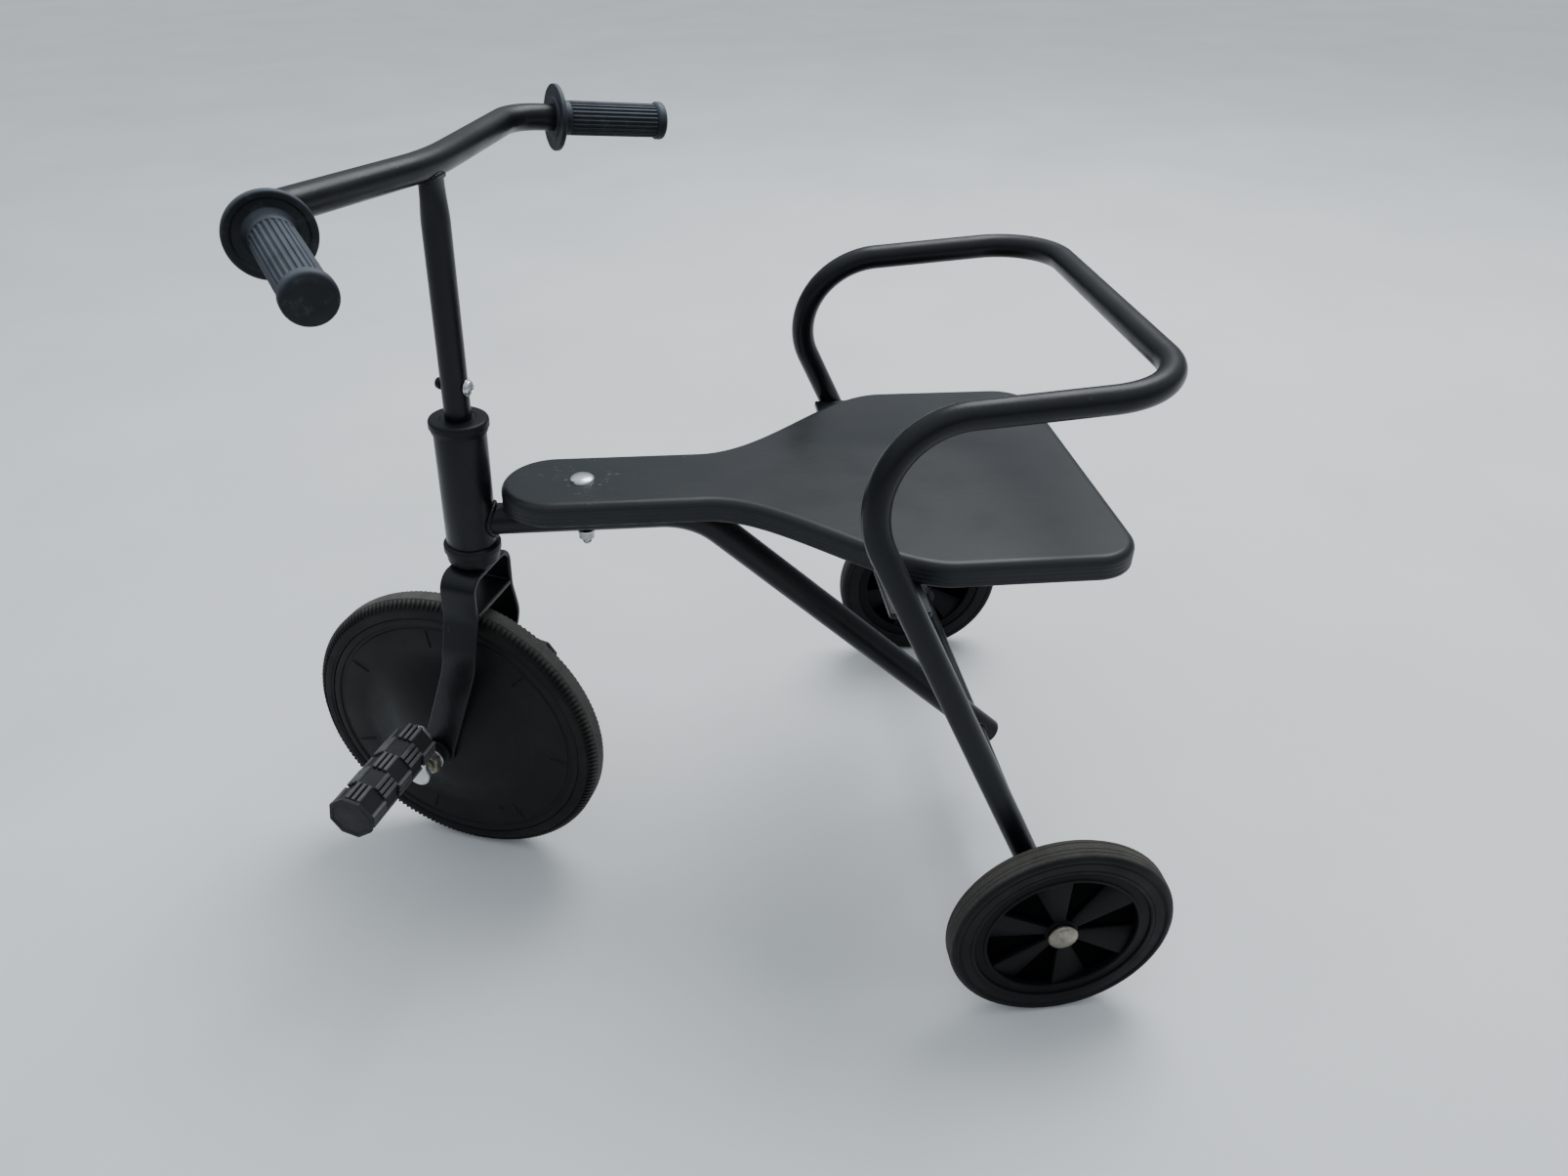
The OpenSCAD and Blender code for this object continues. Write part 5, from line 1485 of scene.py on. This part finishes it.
def build_rear_tyre(side):
    w, r0 = REAR_TYRE_W, REAR_SEAT_R + FIX_GAP
    t = 0.65
    profile = rounded([
        (r0, 0.9), (r0 + 1.4, 0.5, 0.4), (r0 + 8.6, 0.3, 0.3), (r0 + 9.2, 0.9, 0.2), (r0 + 9.9, 0.3, 0.3),
        (REAR_R - 3.2, 0.0, 1.0), (REAR_R, 3.4, 2.6), (REAR_R, 5.0, 0.1), (REAR_R - t, 5.4, 0.1),
        (REAR_R, 5.8, 0.1), (REAR_R, w - 7.4, 0.1), (REAR_R - t, w - 7.0, 0.1), (REAR_R, w - 6.6, 0.1),
        (REAR_R, w - 4.6, 0.1), (REAR_R - t, w - 4.2, 0.1), (REAR_R - 0.1, w - 3.8, 0.1),
        (REAR_R - 0.7, w - 2.3, 0.6), (REAR_R - 1.6, w - 1.5, 0.4), (REAR_R - 3.6, w, 1.4),
        (r0 + 10.6, w, 0.5), (r0 + 9.9, w - 1.0, 0.3), (r0 + 9.1, w - 1.0, 0.3), (r0 + 8.5, w - 0.45, 0.3),
        (r0 + 3.2, w - 0.6, 0.3), (r0 + 2.7, w - 1.0, 0.2),
        (r0 + 2.2, w - 0.35, 0.3), (r0 + 0.9, w - 0.3, 0.4), (r0, w - 1.0)], 4)
    place = rear_frame(side) @ shift(0, 0, tyre_in_y)
    name = "rear_tyre_grooved_" + side
    add_piece(name, lathe(name, profile, place, 180), rear_rubber, side + "_rear_wheel", "tyre",
              "rear_tyre_" + side)


def build_rear_rim(side):
    place = rear_frame(side)
    z0 = tyre_in_y + 1.75
    z1 = z0 + REAR_TYRE_W - 3.5
    band = rounded([(REAR_OPEN_R, z0, 0.6), (REAR_SEAT_R, z0, 0.3), (REAR_SEAT_R, z1, 0.4),
                    (REAR_OPEN_R + 2.9, z1 - 0.1, 0.3), (REAR_OPEN_R + 2.5, z1 + 0.75, 0.4),
                    (REAR_OPEN_R + 0.6, z1 + 0.75, 0.5), (REAR_OPEN_R, z1 - 0.4, 0.4)], 3)
    parts = [lathe("band", band, place, 144)]
    bore = 7.0 + FIX_GAP
    hub = rounded([(bore, rim_hub_in_y), (11.0, rim_hub_in_y, 0.6), (11.0, rim_hub_out_y - 1.0, 1.2),
                   (9.6, rim_hub_out_y, 0.4), (bore, rim_hub_out_y)])
    parts.append(lathe("hub", hub, place, 72))
    # The web that closes the rim halfway through
    middle = (z0 + z1) / 2
    web = rounded([(10.0, middle - 1), (REAR_OPEN_R + 1, middle - 1), (REAR_OPEN_R + 1, middle + 1),
                   (10.0, middle + 1)])
    parts.append(lathe("web", web, place, 96))
    # One blade: a flat wedge that widens outwards and leans a little
    lean = math.tan(math.radians(BLADE_SLANT))
    loops = []
    for r in np.linspace(9.5, REAR_OPEN_R + 1.0, 10):
        w, h = 3.0 + 12.0 * (r - 8.0) / (REAR_SEAT_R - 8.0), BLADE_T / 2
        section = rounded([(-w, -h, 0.9), (w, -h, 0.9), (w, h, 0.9), (-w, h, 0.9)], 3)
        loops.append([(r, y, middle + z - y * lean) for y, z in section])
    blade = loft("blade", loops)
    parts.append(grow(turned_tree, blade, {"Copies": BLADES, "First Angle": math.radians(BLADE_AT),
                                           "Seed": 3}, rim_plastic, place))
    name = "rear_rim_bladed_" + side
    add_piece(name, joined(name, parts), rim_plastic, side + "_rear_wheel", "plastic", "rear_rim_" + side)


def build_axle_cap(side):
    place = rear_frame(side)
    base = rim_hub_out_y + washer_t + SIDE_GAP
    top = 4.0
    r = CAP_D / 2
    dome = [(r * math.cos(t), base + 0.7 + (top - 0.7) * math.sin(t))
            for t in np.linspace(0.0, math.pi / 2, 14)]
    profile = [(5.1, base + 1.4), (5.1, base + 0.05), (r - 0.6, base + 0.05), (r, base + 0.35)] + dome[:-1]
    profile += [(0, base + top)]
    shell = lathe("axle_cap_domed_" + side, [(0, base + 1.45)] + profile, place, 72, ring=False)
    add_piece("axle_cap_domed_" + side, shell, brown_zinc, "main_frame", "brown_zinc", "axle_cap_" + side)


for side in SIDES:
    build_rear_tyre(side)
    build_rear_rim(side)
    build_axle_cap(side)

# ---- CAD nodes that keep their own shape ----

KEPT = {"seat_screws": zinc, "rear_washers": zinc, "steerer_tube": paint, "front_hub": bush_plastic,
        "pedal_clip_left": zinc, "pedal_clip_right": zinc, "rear_bush_left": bush_plastic,
        "rear_bush_right": bush_plastic}
for node, finish in KEPT.items():
    piece = frame["nodes"][node]
    piece.data.materials.clear()
    piece.data.materials.append(finish)

# ---- Floor, light and camera ----


def build_floor():
    f = Finish("pale_floor", Specular_IOR_Level=0.3)
    cloud = f.noise(3.0, 5.0)
    colour = f.mix(f.band(cloud, 0.3, 0.7), (0.66, 0.665, 0.655), (0.72, 0.725, 0.715))
    finish = f.done(colour, f.band(cloud, 0.3, 0.7, 0.72, 0.85), f.bump(f.noise(220.0, 3.0), 0.05, 0.0005))
    reach = 30000.0
    corners = [(-reach, -reach, 0), (reach, -reach, 0), (reach, reach, 0), (-reach, reach, 0)]
    mesh = plain_mesh("floor", corners, [(0, 1, 2, 3)])
    mesh.materials.append(finish)
    floor = bpy.data.objects.new("floor", mesh)
    bpy.context.scene.collection.objects.link(floor)


def add_light(name, at, aim, size, power, colour):
    light = bpy.data.lights.new(name, "AREA")
    light.shape, light.size, light.energy, light.color = "DISK", size, power, colour
    lamp = bpy.data.objects.new(name, light)
    lamp.location = at
    lamp.rotation_euler = (Vector(aim) - Vector(at)).to_track_quat("-Z", "Y").to_euler()
    bpy.context.scene.collection.objects.link(lamp)


def build_light():
    world = bpy.data.worlds.new("soft_sky")
    bpy.context.scene.world = world
    world.use_nodes = True
    # An overcast sky, brightest overhead
    nodes, links = world.node_tree.nodes, world.node_tree.links
    sky = nodes["Background"]
    way = nodes.new("ShaderNodeTexCoord").outputs["Generated"]
    split = nodes.new("ShaderNodeSeparateXYZ")
    links.new(way, split.inputs[0])
    height = nodes.new("ShaderNodeMapRange")
    for key, value in (("From Min", 0.0), ("From Max", 0.85), ("To Min", 0.09), ("To Max", 1.22)):
        height.inputs[key].default_value = value
    links.new(split.outputs[2], height.inputs["Value"])
    sky.inputs["Color"].default_value = (0.82, 0.905, 1.0, 1.0)
    # What stands behind the object is an even, pale backdrop
    seen = nodes.new("ShaderNodeMix")
    seen.inputs[3].default_value = 0.62
    links.new(nodes.new("ShaderNodeLightPath").outputs["Is Camera Ray"], seen.inputs[0])
    links.new(height.outputs[0], seen.inputs[2])
    links.new(seen.outputs[0], sky.inputs["Strength"])
    add_light("overhead", (-0.9, -1.0, 2.4), (0, 0, 0.2), 1.8, 62.0, (0.95, 0.98, 1.0))


def build_camera():
    right = Vector((-0.9920, 0.1254, -0.0154)).normalized()
    forward = Vector((-0.0957, -0.8253, -0.5566)).normalized()
    up = right.cross(forward).normalized()
    at = Vector((13.75, 663.3, 664.7))
    camera = bpy.data.cameras.new("camera")
    camera.sensor_fit = "HORIZONTAL"
    camera.sensor_width = 36.0
    camera.lens = 36.0 * 1151.14 / 1606
    camera.clip_end = 100.0
    view = bpy.data.objects.new("camera", camera)
    place = axes_frame(right, up, -forward, at)
    place.translation = at * MM
    view.matrix_world = place
    bpy.context.scene.collection.objects.link(view)
    bpy.context.scene.camera = view


build_floor()
build_light()
build_camera()
